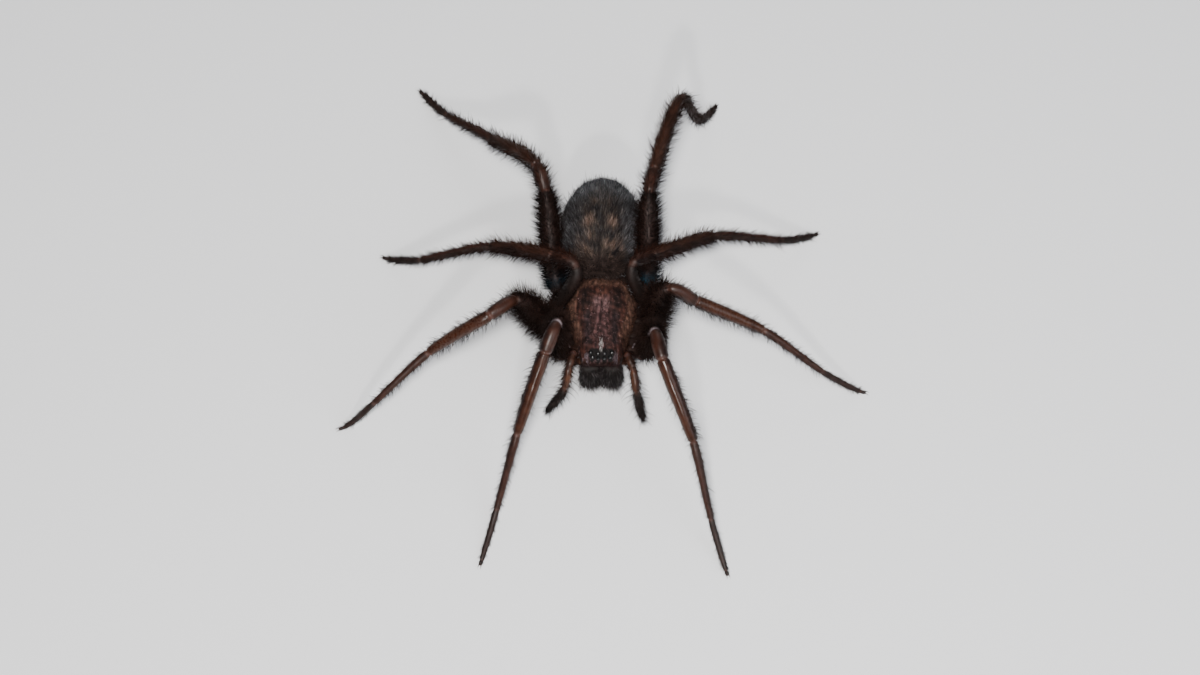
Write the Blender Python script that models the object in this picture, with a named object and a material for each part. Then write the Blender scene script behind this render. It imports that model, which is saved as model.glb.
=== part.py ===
"""A house spider, life size, standing still on its eight feet.

It faces -Y, +Z is up and +X is its left side. Sizes and places are in millimetres, and new_node writes
each mesh in metres. The floor is z = 0, and the origin is under the middle of the whole outline.
"""

import math

import bmesh
import bpy
from mathutils import Vector
from mathutils.bvhtree import BVHTree

METRE = 0.001
GAP = 0.12
EYE_GAP = 0.04

LEG_SIDES = 12
BODY_SIDES = 24

# Carapace stations from its rear edge to the clypeus: y, half width, and the heights of the margin,
# the crown and the underside
CARAPACE = (
    (3.86, 1.10, 3.24, 3.38, 3.08),
    (3.62, 1.52, 3.22, 3.66, 3.06),
    (3.15, 1.90, 3.20, 3.98, 3.04),
    (2.40, 2.26, 3.18, 4.22, 3.03),
    (1.60, 2.48, 3.16, 4.34, 3.03),
    (0.80, 2.52, 3.16, 4.42, 3.03),
    (0.00, 2.36, 3.20, 4.56, 3.04),
    (-0.80, 2.10, 3.28, 4.76, 3.08),
    (-1.60, 1.86, 3.38, 4.94, 3.16),
    (-2.30, 1.74, 3.52, 5.02, 3.30),
    (-2.80, 1.66, 3.64, 4.96, 3.44),
    (-3.15, 1.56, 3.68, 4.74, 3.47),
    (-3.40, 1.44, 3.70, 4.42, 3.49),
    (-3.52, 1.30, 3.72, 4.10, 3.51),
)
CARAPACE_ROWS = 26
CARAPACE_SIDES = 32
CARAPACE_RIM = 0.08
CARAPACE_FULLNESS = 0.78
# Shares of the half width where the underside's points lie, the outer two under the rim
CARAPACE_UNDER = (-0.94, -0.6, 0.0, 0.6, 0.94)
# The pit behind the head and the groove that runs forward from it: two ends and depth, for either side
CARAPACE_GROOVES = (
    ((0.0, 1.55), (0.0, 2.15), 0.14),
    ((0.30, 1.40), (1.80, -1.00), 0.12),
)
GROOVE_WIDTH = 0.30

# Sternum and labium stations from rear to front: y, half width, half height
STERNUM = (
    (2.45, 0.30, 0.40),
    (2.15, 0.66, 0.56),
    (1.40, 1.02, 0.64),
    (0.40, 1.24, 0.66),
    (-0.60, 1.18, 0.64),
    (-1.35, 0.82, 0.58),
    (-1.66, 0.44, 0.46),
    (-2.02, 0.42, 0.42),
    (-2.40, 0.26, 0.32),
)
STERNUM_HEIGHT = 2.08
STERNUM_ROWS = 12
STERNUM_SIDES = 16

# Abdomen stations from the pedicel to the spinnerets: y, middle height, half width, height above and below
ABDOMEN = (
    (3.72, 4.40, 0.66, 0.54, 0.34),
    (3.88, 4.36, 1.34, 1.08, 0.66),
    (4.28, 4.25, 1.94, 1.68, 1.24),
    (4.95, 4.14, 2.44, 2.18, 1.96),
    (6.00, 4.05, 2.80, 2.54, 2.40),
    (7.20, 4.00, 2.95, 2.66, 2.52),
    (8.30, 3.92, 2.94, 2.58, 2.40),
    (9.30, 3.80, 2.74, 2.34, 2.08),
    (10.20, 3.64, 2.30, 1.96, 1.60),
    (10.90, 3.44, 1.66, 1.44, 1.10),
    (11.35, 3.28, 0.92, 0.86, 0.66),
)
ABDOMEN_ROWS = 20
ABDOMEN_SHIFT = -0.20
ABDOMEN_YAW = math.radians(-3)
ABDOMEN_END_TILT = math.radians(30)

PEDICEL_POINTS = ((0.0, 2.60, 2.34), (0.0, 3.05, 2.34), (0.0, 3.60, 2.38), (0.0, 4.16, 2.58))
PEDICEL_RADIUS = 0.30
PEDICEL_SIDES = 12

# Eyes: place across the head, place along it, radius. The rows look forward and up.
EYES = {
    "front_median": (0.23, -3.30, 0.14),
    "front_lateral": (0.66, -3.20, 0.15),
    "rear_median": (0.27, -2.86, 0.14),
    "rear_lateral": (0.76, -2.80, 0.15),
}
EYE_LOOK = Vector((0.0, -0.55, 0.84)).normalized()
EYE_LEVEL = 4.6
EYE_AIM = 3.0
EYE_DOME = math.radians(75)
EYE_RINGS = 3
EYE_SIDES = 12

# Chelicera rings from its root under the clypeus to its end: height, y, half width, half depth
CHELICERA = (
    (3.36, -3.30, 0.62, 0.36),
    (3.20, -3.42, 0.74, 0.50),
    (2.86, -3.56, 0.78, 0.62),
    (2.42, -3.64, 0.78, 0.65),
    (1.98, -3.68, 0.77, 0.61),
    (1.54, -3.72, 0.73, 0.54),
    (1.28, -3.76, 0.58, 0.38),
)
CHELICERA_ROWS = 9
CHELICERA_SIDES = 16
CHELICERA_MIDDLE = 0.83
CHELICERA_SQUARENESS = 0.82
FANG_POINTS = ((1.06, -3.84, 1.02), (0.86, -3.96, 0.90), (0.58, -3.88, 0.86), (0.34, -3.68, 0.90))
FANG_RADII = (0.17, 0.15, 0.11, 0.04)
FANG_SIDES = 8

MAXILLA_POINTS = (
    (0.62, -2.86, 1.70),
    (0.80, -2.60, 1.78),
    (1.08, -2.46, 1.90),
    (1.42, -2.46, 2.04),
    (1.72, -2.50, 2.16),
)
MAXILLA_RADII = (0.20, 0.36, 0.42, 0.38, 0.30)
MAXILLA_SIDES = 10

# Pairs of spinnerets: distance from the middle line, height on the abdomen's end, length and root radius
SPINNERETS = {
    "front": (0.28, -0.22, 0.78, 0.24),
    "middle": (0.11, 0.02, 0.56, 0.09),
    "rear": (0.25, 0.25, 0.80, 0.19),
}
SPINNERET_SHAPE = ((0.0, 1.0), (0.3, 0.98), (0.6, 0.84), (0.85, 0.66), (1.0, 0.38))
SPINNERET_SPREAD = 0.06
SPINNERET_LEAN = 0.25
SPINNERET_SIDES = 8
# The low mound that carries them: rise from the abdomen's end and share of its outline
MOUND = ((0.0, 0.96), (0.14, 0.92), (0.30, 0.74), (0.40, 0.50))
MOUND_SUNK = 0.12

# Each podomere's radius, as shares of its length from its near end
PODOMERES = {
    "coxa": ((0.0, 0.36), (0.25, 0.48), (0.65, 0.58), (1.0, 0.54)),
    "trochanter": ((0.0, 0.54), (0.5, 0.57), (1.0, 0.50)),
    "femur": ((0.0, 0.49), (0.10, 0.60), (0.28, 0.72), (0.50, 0.75), (0.70, 0.70), (0.86, 0.60), (1.0, 0.46)),
    "patella": ((0.0, 0.44), (0.30, 0.53), (0.70, 0.55), (1.0, 0.48)),
    "tibia": ((0.0, 0.48), (0.12, 0.51), (0.40, 0.51), (0.70, 0.46), (0.92, 0.40), (1.0, 0.34)),
    "metatarsus": ((0.0, 0.32), (0.10, 0.35), (0.50, 0.31), (0.85, 0.28), (1.0, 0.26)),
    "tarsus": ((0.0, 0.26), (0.12, 0.27), (0.55, 0.26), (0.88, 0.22), (1.0, 0.18)),
    "claw_base": ((0.0, 0.18), (0.6, 0.17), (1.0, 0.13)),
}
BOW = {"femur": 0.08, "tibia": 0.05, "metatarsus": 0.08}
# How far from a joint a limb's middle line keeps the joint's direction
TURN_SHARE = 0.30
TURN_MOST = 1.30
LEG_NODES = {
    "coxa": ("coxa", "trochanter"),
    "femur": ("femur",),
    "tibia": ("patella", "tibia"),
    "foot": ("metatarsus", "tarsus", "claw_base"),
}
TROCHANTER_LENGTH = 0.55
CLAW_BASE_LENGTH = 0.40
SOLE_MIDDLE = 0.13
# The two claws: length, root radius, how far it is sunk and raised, distance apart and more at the tip,
# and the arch and drop along it
CLAW_LENGTH = 0.34
CLAW_RADIUS = 0.05
CLAW_SUNK = 0.10
CLAW_RISE = 0.04
CLAW_APART = 0.07
CLAW_SPLAY = 0.05
CLAW_ARCH = 0.05
CLAW_DROP = 0.12
CLAW_TAPER = 0.72
CLAW_STEPS = 4
CLAW_SIDES = 6

# Each pair of legs: the coxa's root, the femur's root, the thickness against the shape above, and the
# lengths of femur, patella, tibia, metatarsus and tarsus
PAIRS = {
    1: ((1.12, -1.35, 2.00), (3.15, -1.94, 2.55), 1.00, (6.3, 2.3, 6.5, 6.1, 4.0)),
    2: ((1.37, -0.32, 2.00), (3.40, -0.31, 2.50), 0.95, (5.8, 2.4, 5.8, 5.6, 3.6)),
    3: ((1.38, 0.72, 2.00), (3.54, 1.20, 2.50), 0.92, (4.9, 2.1, 5.7, 5.7, 3.3)),
    4: ((1.14, 1.84, 2.00), (3.30, 3.20, 2.50), 0.96, (7.6, 2.1, 6.3, 5.3, 3.2)),
}
# How much stouter, or slimmer below 0, than the shape above the middle of each pair's femora is
FEMUR_SWELL = {1: 0.05, 2: 0.20, 3: -0.20, 4: 0.04}
# Each leg's headings, in degrees from straight out to its own side towards the tail, and its pitches
# above level; the tarsus pitches down to the floor, whatever is left
POSE = {
    (1, "left"): ((-55, -76, -66, -74, -72), (77, 5, -32, -36)),
    (1, "right"): ((-71, -68, -67, -71, -74), (85, -11, -36, -38)),
    (2, "left"): ((35, -12, -15, -27, -16), (70, -30, -24, -26)),
    (2, "right"): ((8, -38, -20, -37, -22), (58, 13, -32, -24)),
    (3, "left"): ((119, 38, 28, 8, 25), (60, -24, -19, -23)),
    (3, "right"): ((128, 32, 22, -2, 19), (58, -14, -24, -20)),
    (4, "left"): ((87, 79, 71, 26, 59), (38, -5, 2, -71)),
    (4, "right"): ((82, 70, 48, 42, 50), (27, 17, -31, -25)),
}

# The palps: lengths, headings and pitches of trochanter, femur, patella, tibia and tarsus
PALP_ROOT = (1.78, -2.52, 2.18)
PALP_LENGTHS = (0.42, 2.25, 1.10, 1.70, 2.45)
PALP_POSE = {
    "left": ((-13, -102, -70, -80, -71), (31, 75, -10, -33, -47)),
    "right": ((-13, -90, -75, -72, -43), (28, 79, -4, -47, -43)),
}
PALP_SHAPE = (
    ((0.0, 0.27), (0.5, 0.30), (1.0, 0.28)),
    ((0.0, 0.28), (0.25, 0.34), (0.60, 0.35), (1.0, 0.26)),
    ((0.0, 0.25), (0.40, 0.32), (1.0, 0.27)),
    ((0.0, 0.27), (0.35, 0.34), (1.0, 0.28)),
    ((0.0, 0.29), (0.20, 0.34), (0.65, 0.30), (0.90, 0.20), (1.0, 0.10)),
)
PALP_NODES = {"femur": (0, 1), "tarsus": (2, 3, 4)}

COLOURS = {
    "carapace": ((0.085, 0.030, 0.018), 0.45),
    "femora": ((0.034, 0.013, 0.009), 0.50),
    "legs": ((0.095, 0.024, 0.014), 0.32),
    "feet": ((0.050, 0.017, 0.011), 0.45),
    "abdomen": ((0.032, 0.027, 0.023), 0.70),
    "underside": ((0.050, 0.024, 0.016), 0.50),
    "chelicerae": ((0.022, 0.013, 0.011), 0.40),
    "fangs": ((0.030, 0.006, 0.004), 0.18),
    "eyes": ((0.004, 0.004, 0.005), 0.08),
}


def clear_scene():
    for obj in list(bpy.data.objects):
        bpy.data.objects.remove(obj)


def new_material(name):
    colour, roughness = COLOURS[name]
    material = bpy.data.materials.new(name)
    material.use_nodes = True
    shader = material.node_tree.nodes["Principled BSDF"]
    shader.inputs["Base Color"].default_value = (*colour, 1.0)
    shader.inputs["Roughness"].default_value = roughness
    shader.inputs["Metallic"].default_value = 0.0
    return material


def new_node(name, bm, material, parent):
    """One object from a bmesh in millimetres, in metres under the spider's own frame."""
    bmesh.ops.scale(bm, vec=(METRE, METRE, METRE), verts=bm.verts)
    bmesh.ops.recalc_face_normals(bm, faces=bm.faces)
    mesh = bpy.data.meshes.new(name)
    bm.to_mesh(mesh)
    bm.free()
    mesh.shade_smooth()
    mesh.set_sharp_from_angle(angle=math.radians(40))
    mesh.materials.append(material)
    obj = bpy.data.objects.new(name, mesh)
    obj.parent = parent
    bpy.context.scene.collection.objects.link(obj)
    return obj


def smooth_value(stations, place, column):
    """A column of the stations read at a place between them, on a smooth curve through all of them."""
    count = len(stations)
    step = min(int(place), count - 2)
    share = place - step
    before, here, after, beyond = (
        stations[min(max(step + shift, 0), count - 1)][column] for shift in (-1, 0, 1, 2)
    )
    slope_here = (after - before) / 2
    slope_after = (beyond - here) / 2
    rise = after - here
    return (
        here
        + slope_here * share
        + (3 * rise - 2 * slope_here - slope_after) * share**2
        + (slope_here + slope_after - 2 * rise) * share**3
    )


def smooth_rows(stations, rows):
    """The stations resampled to evenly numbered rows, ends included."""
    last = len(stations) - 1
    columns = range(len(stations[0]))
    return [
        tuple(smooth_value(stations, last * row / rows, column) for column in columns)
        for row in range(rows + 1)
    ]


def closed_loft(rings):
    """A closed skin over rings of the same number of points, with a flat face at each end."""
    bm = bmesh.new()
    loops = [[bm.verts.new(point) for point in ring] for ring in rings]
    count = len(rings[0])
    for near, far in zip(loops, loops[1:]):
        for i in range(count):
            j = (i + 1) % count
            bm.faces.new((near[i], near[j], far[j], far[i]))
    bm.faces.new(loops[0])
    bm.faces.new(loops[-1])
    return bm


def circle(centre, up, side, radius, sides, side_radius=None, squareness=1.0):
    """A ring of points: a circle, an ellipse with a side_radius, or boxier with a squareness under 1."""
    side_radius = radius if side_radius is None else side_radius
    points = []
    for i in range(sides):
        rise, across = math.cos(2 * math.pi * i / sides), math.sin(2 * math.pi * i / sides)
        rise = math.copysign(abs(rise) ** squareness, rise)
        across = math.copysign(abs(across) ** squareness, across)
        points.append(centre + up * radius * rise + side * side_radius * across)
    return points


def tube_along(points, radii, sides):
    """A tube whose rings turn smoothly along a bent line of points."""
    points = [Vector(point) for point in points]
    rings = []
    up = None
    for i, (point, radius) in enumerate(zip(points, radii)):
        ahead = points[min(i + 1, len(points) - 1)] - points[max(i - 1, 0)]
        ahead.normalize()
        if up is None:
            up = Vector((0.0, 0.0, 1.0))
        up = (up - ahead * up.dot(ahead)).normalized()
        rings.append(circle(point, up, ahead.cross(up), radius, sides))
    return closed_loft(rings)


def heading_vector(heading, pitch, side):
    flat = math.cos(pitch)
    return Vector((side * flat * math.cos(heading), flat * math.sin(heading), math.sin(pitch)))


def on_turn(near, far, near_way, far_way, share):
    """A point and its direction on the smooth line between two joints, which leaves each along its way."""
    reach = min(TURN_SHARE * (far - near).length, TURN_MOST)
    a, b, c, d = near, near + near_way * reach, far - far_way * reach, far
    left = 1.0 - share
    point = a * left**3 + b * 3 * left**2 * share + c * 3 * left * share**2 + d * share**3
    way = (b - a) * left**2 + (c - b) * 2 * left * share + (d - c) * share**2
    return point, way.normalized()


def limb_rings(joints, shapes, bows, breaks):
    """Rings of each podomere of a limb. A break is a joint where two nodes meet, with the gap between."""
    straight = [(far - near).normalized() for near, far in zip(joints, joints[1:])]
    ways = [straight[0]]
    ways += [(before + after).normalized() for before, after in zip(straight, straight[1:])]
    ways.append(straight[-1])
    up = Vector((0.0, 0.0, 1.0))
    podomeres = []
    for k, (near, far) in enumerate(zip(joints, joints[1:])):
        rings = []
        for share, radius in shapes[k]:
            centre, way = on_turn(near, far, ways[k], ways[k + 1], share)
            up = (up - way * up.dot(way)).normalized()
            centre = centre + up * bows[k] * math.sin(math.pi * share)
            if share == 0.0 and k in breaks:
                centre = centre + way * GAP / 2
            if share == 1.0 and k + 1 in breaks:
                centre = centre - way * GAP / 2
            rings.append(circle(centre, up, way.cross(up), radius, LEG_SIDES))
        podomeres.append(rings)
    return podomeres


def joined_rings(podomeres):
    """The rings of podomeres of one node in a row, with each shared joint's ring kept once."""
    rings = list(podomeres[0])
    for following in podomeres[1:]:
        rings += following[1:]
    return rings


def leg_joints(pair, side_name):
    """Where a leg's podomeres meet, from the coxa's root to the end of the claws' base."""
    root, femur_root, _, lengths = PAIRS[pair]
    side = 1 if side_name == "left" else -1
    root = Vector((side * root[0], root[1], root[2]))
    start = Vector((side * femur_root[0], femur_root[1], femur_root[2]))
    headings, pitches = POSE[pair, side_name]
    headings = [math.radians(value) for value in headings]
    pitches = [math.radians(value) for value in pitches]
    femur = heading_vector(headings[0], pitches[0], side)
    trochanter = ((start - root).normalized() + femur).normalized()
    joints = [root, start - trochanter * TROCHANTER_LENGTH, start]
    for heading, pitch, length in zip(headings, pitches, lengths):
        joints.append(joints[-1] + heading_vector(heading, pitch, side) * length)
    drop = math.asin((SOLE_MIDDLE - joints[-1].z) / lengths[4])
    joints.append(joints[-1] + heading_vector(headings[4], drop, side) * lengths[4])
    joints.append(joints[-1] + heading_vector(headings[4], 0.0, side) * CLAW_BASE_LENGTH)
    return joints


def union_of(name, meshes, material, parent):
    """One object from several closed meshes that run into each other."""
    body = new_node(name, meshes[0], material, parent)
    group = bpy.data.collections.new(name + "_pieces")
    bpy.context.scene.collection.children.link(group)
    helpers = []
    for index, bm in enumerate(meshes[1:]):
        helper = new_node(f"{name}_piece_{index}", bm, material, parent)
        helper.hide_render = True
        helper.display_type = "WIRE"
        group.objects.link(helper)
        helpers.append(helper)
    joining = body.modifiers.new("join", "BOOLEAN")
    joining.operation = "UNION"
    joining.operand_type = "COLLECTION"
    joining.collection = group
    joining.solver = "EXACT"
    bpy.context.view_layer.update()
    graph = bpy.context.evaluated_depsgraph_get()
    joined = bpy.data.meshes.new_from_object(body.evaluated_get(graph))
    body.modifiers.clear()
    body.data = joined
    for helper in helpers:
        bpy.data.objects.remove(helper)
    bpy.data.collections.remove(group)
    keep_largest(joined)
    return body


def keep_largest(mesh):
    """Drops every surface but the largest from a mesh."""
    bm = bmesh.new()
    bm.from_mesh(mesh)
    islands = []
    left = set(bm.faces)
    while left:
        found = {left.pop()}
        edge = list(found)
        while edge:
            near = {other for face in edge for line in face.edges for other in line.link_faces}
            edge = list(near - found)
            found |= near
        left -= found
        islands.append(found)
    islands.sort(key=len)
    spare = [face for island in islands[:-1] for face in island]
    bmesh.ops.delete(bm, geom=spare, context="FACES")
    bm.to_mesh(mesh)
    bm.free()


def claw_meshes(joints, side):
    """The two curved claws at the end of a foot, which run forward and down to just over the floor."""
    ahead = (joints[-1] - joints[-2]).normalized()
    across = Vector((-ahead.y, ahead.x, 0.0)) * side
    meshes = []
    for turn in (-1, 1):
        points = []
        radii = []
        for step in range(CLAW_STEPS + 1):
            share = step / CLAW_STEPS
            reach = ahead * (CLAW_LENGTH * share - CLAW_SUNK)
            apart = across * turn * (CLAW_APART + CLAW_SPLAY * share)
            rise = CLAW_RISE + CLAW_ARCH * math.sin(math.pi * share) - CLAW_DROP * share**2
            points.append(joints[-1] + reach + apart + Vector((0.0, 0.0, rise)))
            radii.append(CLAW_RADIUS * (1.0 - CLAW_TAPER * share))
        meshes.append(tube_along(points, radii, CLAW_SIDES))
    return meshes


def podomere_shapes(pair):
    """The radii of each podomere of a pair of legs, with the pair's own femora."""
    thickness = PAIRS[pair][2]
    shapes = []
    for name, shape in PODOMERES.items():
        swell = FEMUR_SWELL[pair] if name == "femur" else 0.0
        radii = [radius * thickness * (1 + swell * math.sin(math.pi * share)) for share, radius in shape]
        shapes.append(tuple(zip([share for share, _ in shape], radii)))
    return shapes


def make_leg(pair, side_name, materials, parent):
    joints = leg_joints(pair, side_name)
    names = list(PODOMERES)
    shapes = podomere_shapes(pair)
    bows = [BOW.get(name, 0.0) for name in names]
    firsts = [names.index(parts[0]) for parts in LEG_NODES.values()]
    podomeres = limb_rings(joints, shapes, bows, set(firsts[1:]))
    for node, parts in LEG_NODES.items():
        rings = joined_rings([podomeres[names.index(part)] for part in parts])
        name = f"leg_{pair}_{side_name}_{node}"
        if node == "foot":
            for ring in rings:
                for point in ring:
                    point.z = max(point.z, 0.0)
            meshes = [closed_loft(rings)] + claw_meshes(joints, 1 if side_name == "left" else -1)
            union_of(name, meshes, materials["feet"], parent)
            continue
        slot = {"coxa": "underside", "femur": "femora", "tibia": "legs"}[node]
        new_node(name, closed_loft(rings), materials[slot], parent)


def make_palp(side_name, materials, parent):
    side = 1 if side_name == "left" else -1
    headings, pitches = PALP_POSE[side_name]
    joints = [Vector((side * PALP_ROOT[0], PALP_ROOT[1], PALP_ROOT[2]))]
    for heading, pitch, length in zip(headings, pitches, PALP_LENGTHS):
        ahead = heading_vector(math.radians(heading), math.radians(pitch), side)
        joints.append(joints[-1] + ahead * length)
    podomeres = limb_rings(joints, PALP_SHAPE, [0.0] * len(PALP_SHAPE), {0, 2})
    for node, parts in PALP_NODES.items():
        rings = joined_rings([podomeres[part] for part in parts])
        new_node(f"palp_{side_name}_{node}", closed_loft(rings), materials["legs"], parent)


def groove_depth(x, y):
    """How far the carapace's top dips at a place, for the pit and the grooves on either side."""
    place = Vector((abs(x), y))
    depth = 0.0
    for near, far, deepest in CARAPACE_GROOVES:
        near = Vector(near)
        along = Vector(far) - near
        share = min(max((place - near).dot(along) / along.length_squared, 0.0), 1.0)
        apart = (place - near - along * share).length
        depth = max(depth, deepest * math.exp(-((apart / GROOVE_WIDTH) ** 2)))
    return depth


def carapace_mesh():
    rings = []
    for y, half, margin, crown, under in smooth_rows(CARAPACE, CARAPACE_ROWS):
        ring = []
        for i in range(CARAPACE_SIDES // 2 + 1):
            angle = 2 * math.pi * i / CARAPACE_SIDES
            x = half * math.cos(angle)
            rise = (crown - margin) * math.sin(angle) ** CARAPACE_FULLNESS
            ring.append(Vector((x, y, margin + rise - groove_depth(x, y) * math.sin(angle))))
        for share in CARAPACE_UNDER:
            on_rim = abs(share) == max(CARAPACE_UNDER)
            ring.append(Vector((half * share, y, margin - CARAPACE_RIM if on_rim else under)))
        rings.append(ring)
    return closed_loft(rings)


def sternum_mesh():
    rings = []
    for y, half, height in smooth_rows(STERNUM, STERNUM_ROWS):
        centre = Vector((0.0, y, STERNUM_HEIGHT))
        up = Vector((0.0, 0.0, 1.0))
        rings.append(circle(centre, up, Vector((1.0, 0.0, 0.0)), height, STERNUM_SIDES, half))
    return closed_loft(rings)


def turned_about_pedicel(point):
    """The abdomen's slight turn to the spider's left, about its root."""
    pivot = Vector(PEDICEL_POINTS[-1])
    apart = point - pivot
    cos, sin = math.cos(ABDOMEN_YAW), math.sin(ABDOMEN_YAW)
    return pivot + Vector((apart.x * cos - apart.y * sin, apart.x * sin + apart.y * cos, apart.z))


def abdomen_rings():
    rings = []
    for row, (y, height, half, above, below) in enumerate(smooth_rows(ABDOMEN, ABDOMEN_ROWS)):
        tilt = ABDOMEN_END_TILT * (row / ABDOMEN_ROWS) ** 3
        ring = []
        for i in range(BODY_SIDES):
            angle = 2 * math.pi * i / BODY_SIDES
            rise = math.cos(angle) * (above if math.cos(angle) > 0 else below)
            back = rise * math.sin(tilt)
            across = ABDOMEN_SHIFT + half * math.sin(angle)
            point = Vector((across, y + back, height + rise * math.cos(tilt)))
            ring.append(turned_about_pedicel(point))
        rings.append(ring)
    return rings


def spinneret_meshes(end_ring):
    """A low mound on the abdomen's flat end, and three pairs of cones that grow out of it."""
    middle = sum(end_ring, Vector()) / len(end_ring)
    out = (end_ring[0] - middle).cross(end_ring[BODY_SIDES // 4] - middle).normalized()
    if out.y < 0:
        out = -out
    across = Vector((math.cos(ABDOMEN_YAW), math.sin(ABDOMEN_YAW), 0.0))
    up = across.cross(out).normalized()
    rings = []
    for rise, share in MOUND:
        lift = out * (GAP + rise)
        rings.append([middle + (point - middle) * share + lift for point in end_ring[::2]])
    meshes = [closed_loft(rings)]
    for place, rise, length, radius in SPINNERETS.values():
        for turn in (-1, 1):
            root = middle + out * (GAP + MOUND_SUNK) + across * turn * place + up * rise
            aim = (out + across * turn * SPINNERET_SPREAD + up * rise * SPINNERET_LEAN).normalized()
            points = [root + aim * length * share for share, _ in SPINNERET_SHAPE]
            radii = [radius * share for _, share in SPINNERET_SHAPE]
            meshes.append(tube_along(points, radii, SPINNERET_SIDES))
    return meshes


def chelicera_mesh(side):
    rings = []
    for height, y, half, depth in smooth_rows(CHELICERA, CHELICERA_ROWS):
        centre = Vector((side * CHELICERA_MIDDLE, y, height))
        ahead = Vector((0.0, -1.0, 0.0))
        across = Vector((side, 0.0, 0.0))
        ring = circle(centre, ahead, across, depth, CHELICERA_SIDES, half, CHELICERA_SQUARENESS)
        rings.append(ring)
    return closed_loft(rings)


def mirrored(points, side):
    return [(side * x, y, z) for x, y, z in points]


def eye_mesh(surface, side, across, y, radius):
    """A dome set on the carapace where a look along the eyes' rows meets it."""
    aim = Vector((side * across, y, EYE_LEVEL)) + EYE_LOOK * EYE_AIM
    place, normal, _, _ = surface.ray_cast(aim, -EYE_LOOK)
    side_way = normal.cross(Vector((0.0, 0.0, 1.0))).normalized()
    up = side_way.cross(normal).normalized()
    rings = []
    for step in range(EYE_RINGS + 1):
        angle = EYE_DOME * step / EYE_RINGS
        centre = place + normal * (EYE_GAP + radius * math.sin(angle))
        rings.append(circle(centre, up, side_way, radius * math.cos(angle), EYE_SIDES))
    return closed_loft(rings)


def make_body(materials, parent):
    carapace = carapace_mesh()
    bmesh.ops.recalc_face_normals(carapace, faces=carapace.faces)
    surface = BVHTree.FromBMesh(carapace)
    for name, (across, y, radius) in EYES.items():
        for side_name, side in (("left", 1), ("right", -1)):
            dome = eye_mesh(surface, side, across, y, radius)
            new_node(f"eye_{name}_{side_name}", dome, materials["eyes"], parent)
    new_node("carapace", carapace, materials["carapace"], parent)
    new_node("sternum", sternum_mesh(), materials["underside"], parent)
    pedicel = tube_along(PEDICEL_POINTS, [PEDICEL_RADIUS] * len(PEDICEL_POINTS), PEDICEL_SIDES)
    new_node("pedicel", pedicel, materials["underside"], parent)
    rings = abdomen_rings()
    new_node("abdomen", closed_loft(rings), materials["abdomen"], parent)
    union_of("spinnerets", spinneret_meshes(rings[-1]), materials["underside"], parent)
    for side_name, side in (("left", 1), ("right", -1)):
        new_node(f"chelicera_{side_name}", chelicera_mesh(side), materials["chelicerae"], parent)
        fang = tube_along(mirrored(FANG_POINTS, side), FANG_RADII, FANG_SIDES)
        new_node(f"fang_{side_name}", fang, materials["fangs"], parent)
        maxilla = tube_along(mirrored(MAXILLA_POINTS, side), MAXILLA_RADII, MAXILLA_SIDES)
        new_node(f"maxilla_{side_name}", maxilla, materials["underside"], parent)


def centre_on_origin(parent):
    """Moves the spider's frame so that the middle of its outline is over the origin."""
    points = [vertex.co for child in parent.children for vertex in child.data.vertices]
    for axis in (0, 1):
        values = [point[axis] for point in points]
        parent.location[axis] = -(min(values) + max(values)) / 2


def main():
    clear_scene()
    spider = bpy.data.objects.new("spider", None)
    bpy.context.scene.collection.objects.link(spider)
    materials = {name: new_material(name) for name in COLOURS}
    make_body(materials, spider)
    for pair, side_name in POSE:
        make_leg(pair, side_name, materials, spider)
    for side_name in PALP_POSE:
        make_palp(side_name, materials, spider)
    centre_on_origin(spider)


main()
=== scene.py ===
"""The looks of a house spider: its shells, joints, eyes and hair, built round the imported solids.

Shapes are worked out in millimetres in the spider's own frame: it faces -Y, +X is its left side and the
floor is z = 0. new_piece turns them to metres in the frame that the solids share.
"""

import math

import bpy
import numpy as np
from mathutils import Matrix, Vector


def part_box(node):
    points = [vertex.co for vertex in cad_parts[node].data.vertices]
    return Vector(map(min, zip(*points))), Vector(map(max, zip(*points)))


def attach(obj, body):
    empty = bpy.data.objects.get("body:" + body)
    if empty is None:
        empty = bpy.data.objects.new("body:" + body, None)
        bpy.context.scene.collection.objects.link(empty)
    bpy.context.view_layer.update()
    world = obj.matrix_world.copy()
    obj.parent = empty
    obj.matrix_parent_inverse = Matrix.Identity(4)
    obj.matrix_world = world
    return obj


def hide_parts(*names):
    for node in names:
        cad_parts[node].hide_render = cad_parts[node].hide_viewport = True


MM = 0.001
SIDES = {"left": 1, "right": -1}

# The photograph's view: its scale, and the pixel that shows a point high on the head shield
IMAGE_SIZE = (1200, 675)
MM_PER_PIXEL = 0.075
ANCHOR = (0.0, 0.0, 4.9)
ANCHOR_PIXEL = (601.3, 316.0)
VIEW_ELEVATION = math.radians(66)
LENS = 100
SENSOR = 36

# Head shield stations from its rear edge to its front: y, half width, heights of margin, crown, underside
CARAPACE = (
    (3.86, 1.10, 3.24, 3.38, 3.08),
    (3.62, 1.52, 3.22, 3.66, 3.06),
    (3.15, 1.90, 3.20, 3.98, 3.04),
    (2.40, 2.26, 3.18, 4.22, 3.03),
    (1.60, 2.48, 3.16, 4.34, 3.03),
    (0.80, 2.52, 3.16, 4.42, 3.03),
    (0.00, 2.36, 3.20, 4.56, 3.04),
    (-0.80, 2.10, 3.28, 4.76, 3.08),
    (-1.60, 1.86, 3.38, 4.94, 3.16),
    (-2.30, 1.74, 3.52, 5.02, 3.30),
    (-2.80, 1.66, 3.64, 4.96, 3.44),
    (-3.15, 1.56, 3.68, 4.74, 3.47),
    (-3.40, 1.44, 3.70, 4.42, 3.49),
    (-3.52, 1.30, 3.72, 4.10, 3.51),
)
CARAPACE_ROWS = 130
CARAPACE_TOP = 110
CARAPACE_UNDER = 16
CARAPACE_FULLNESS = 0.78
CARAPACE_RIM = 0.08
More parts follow.
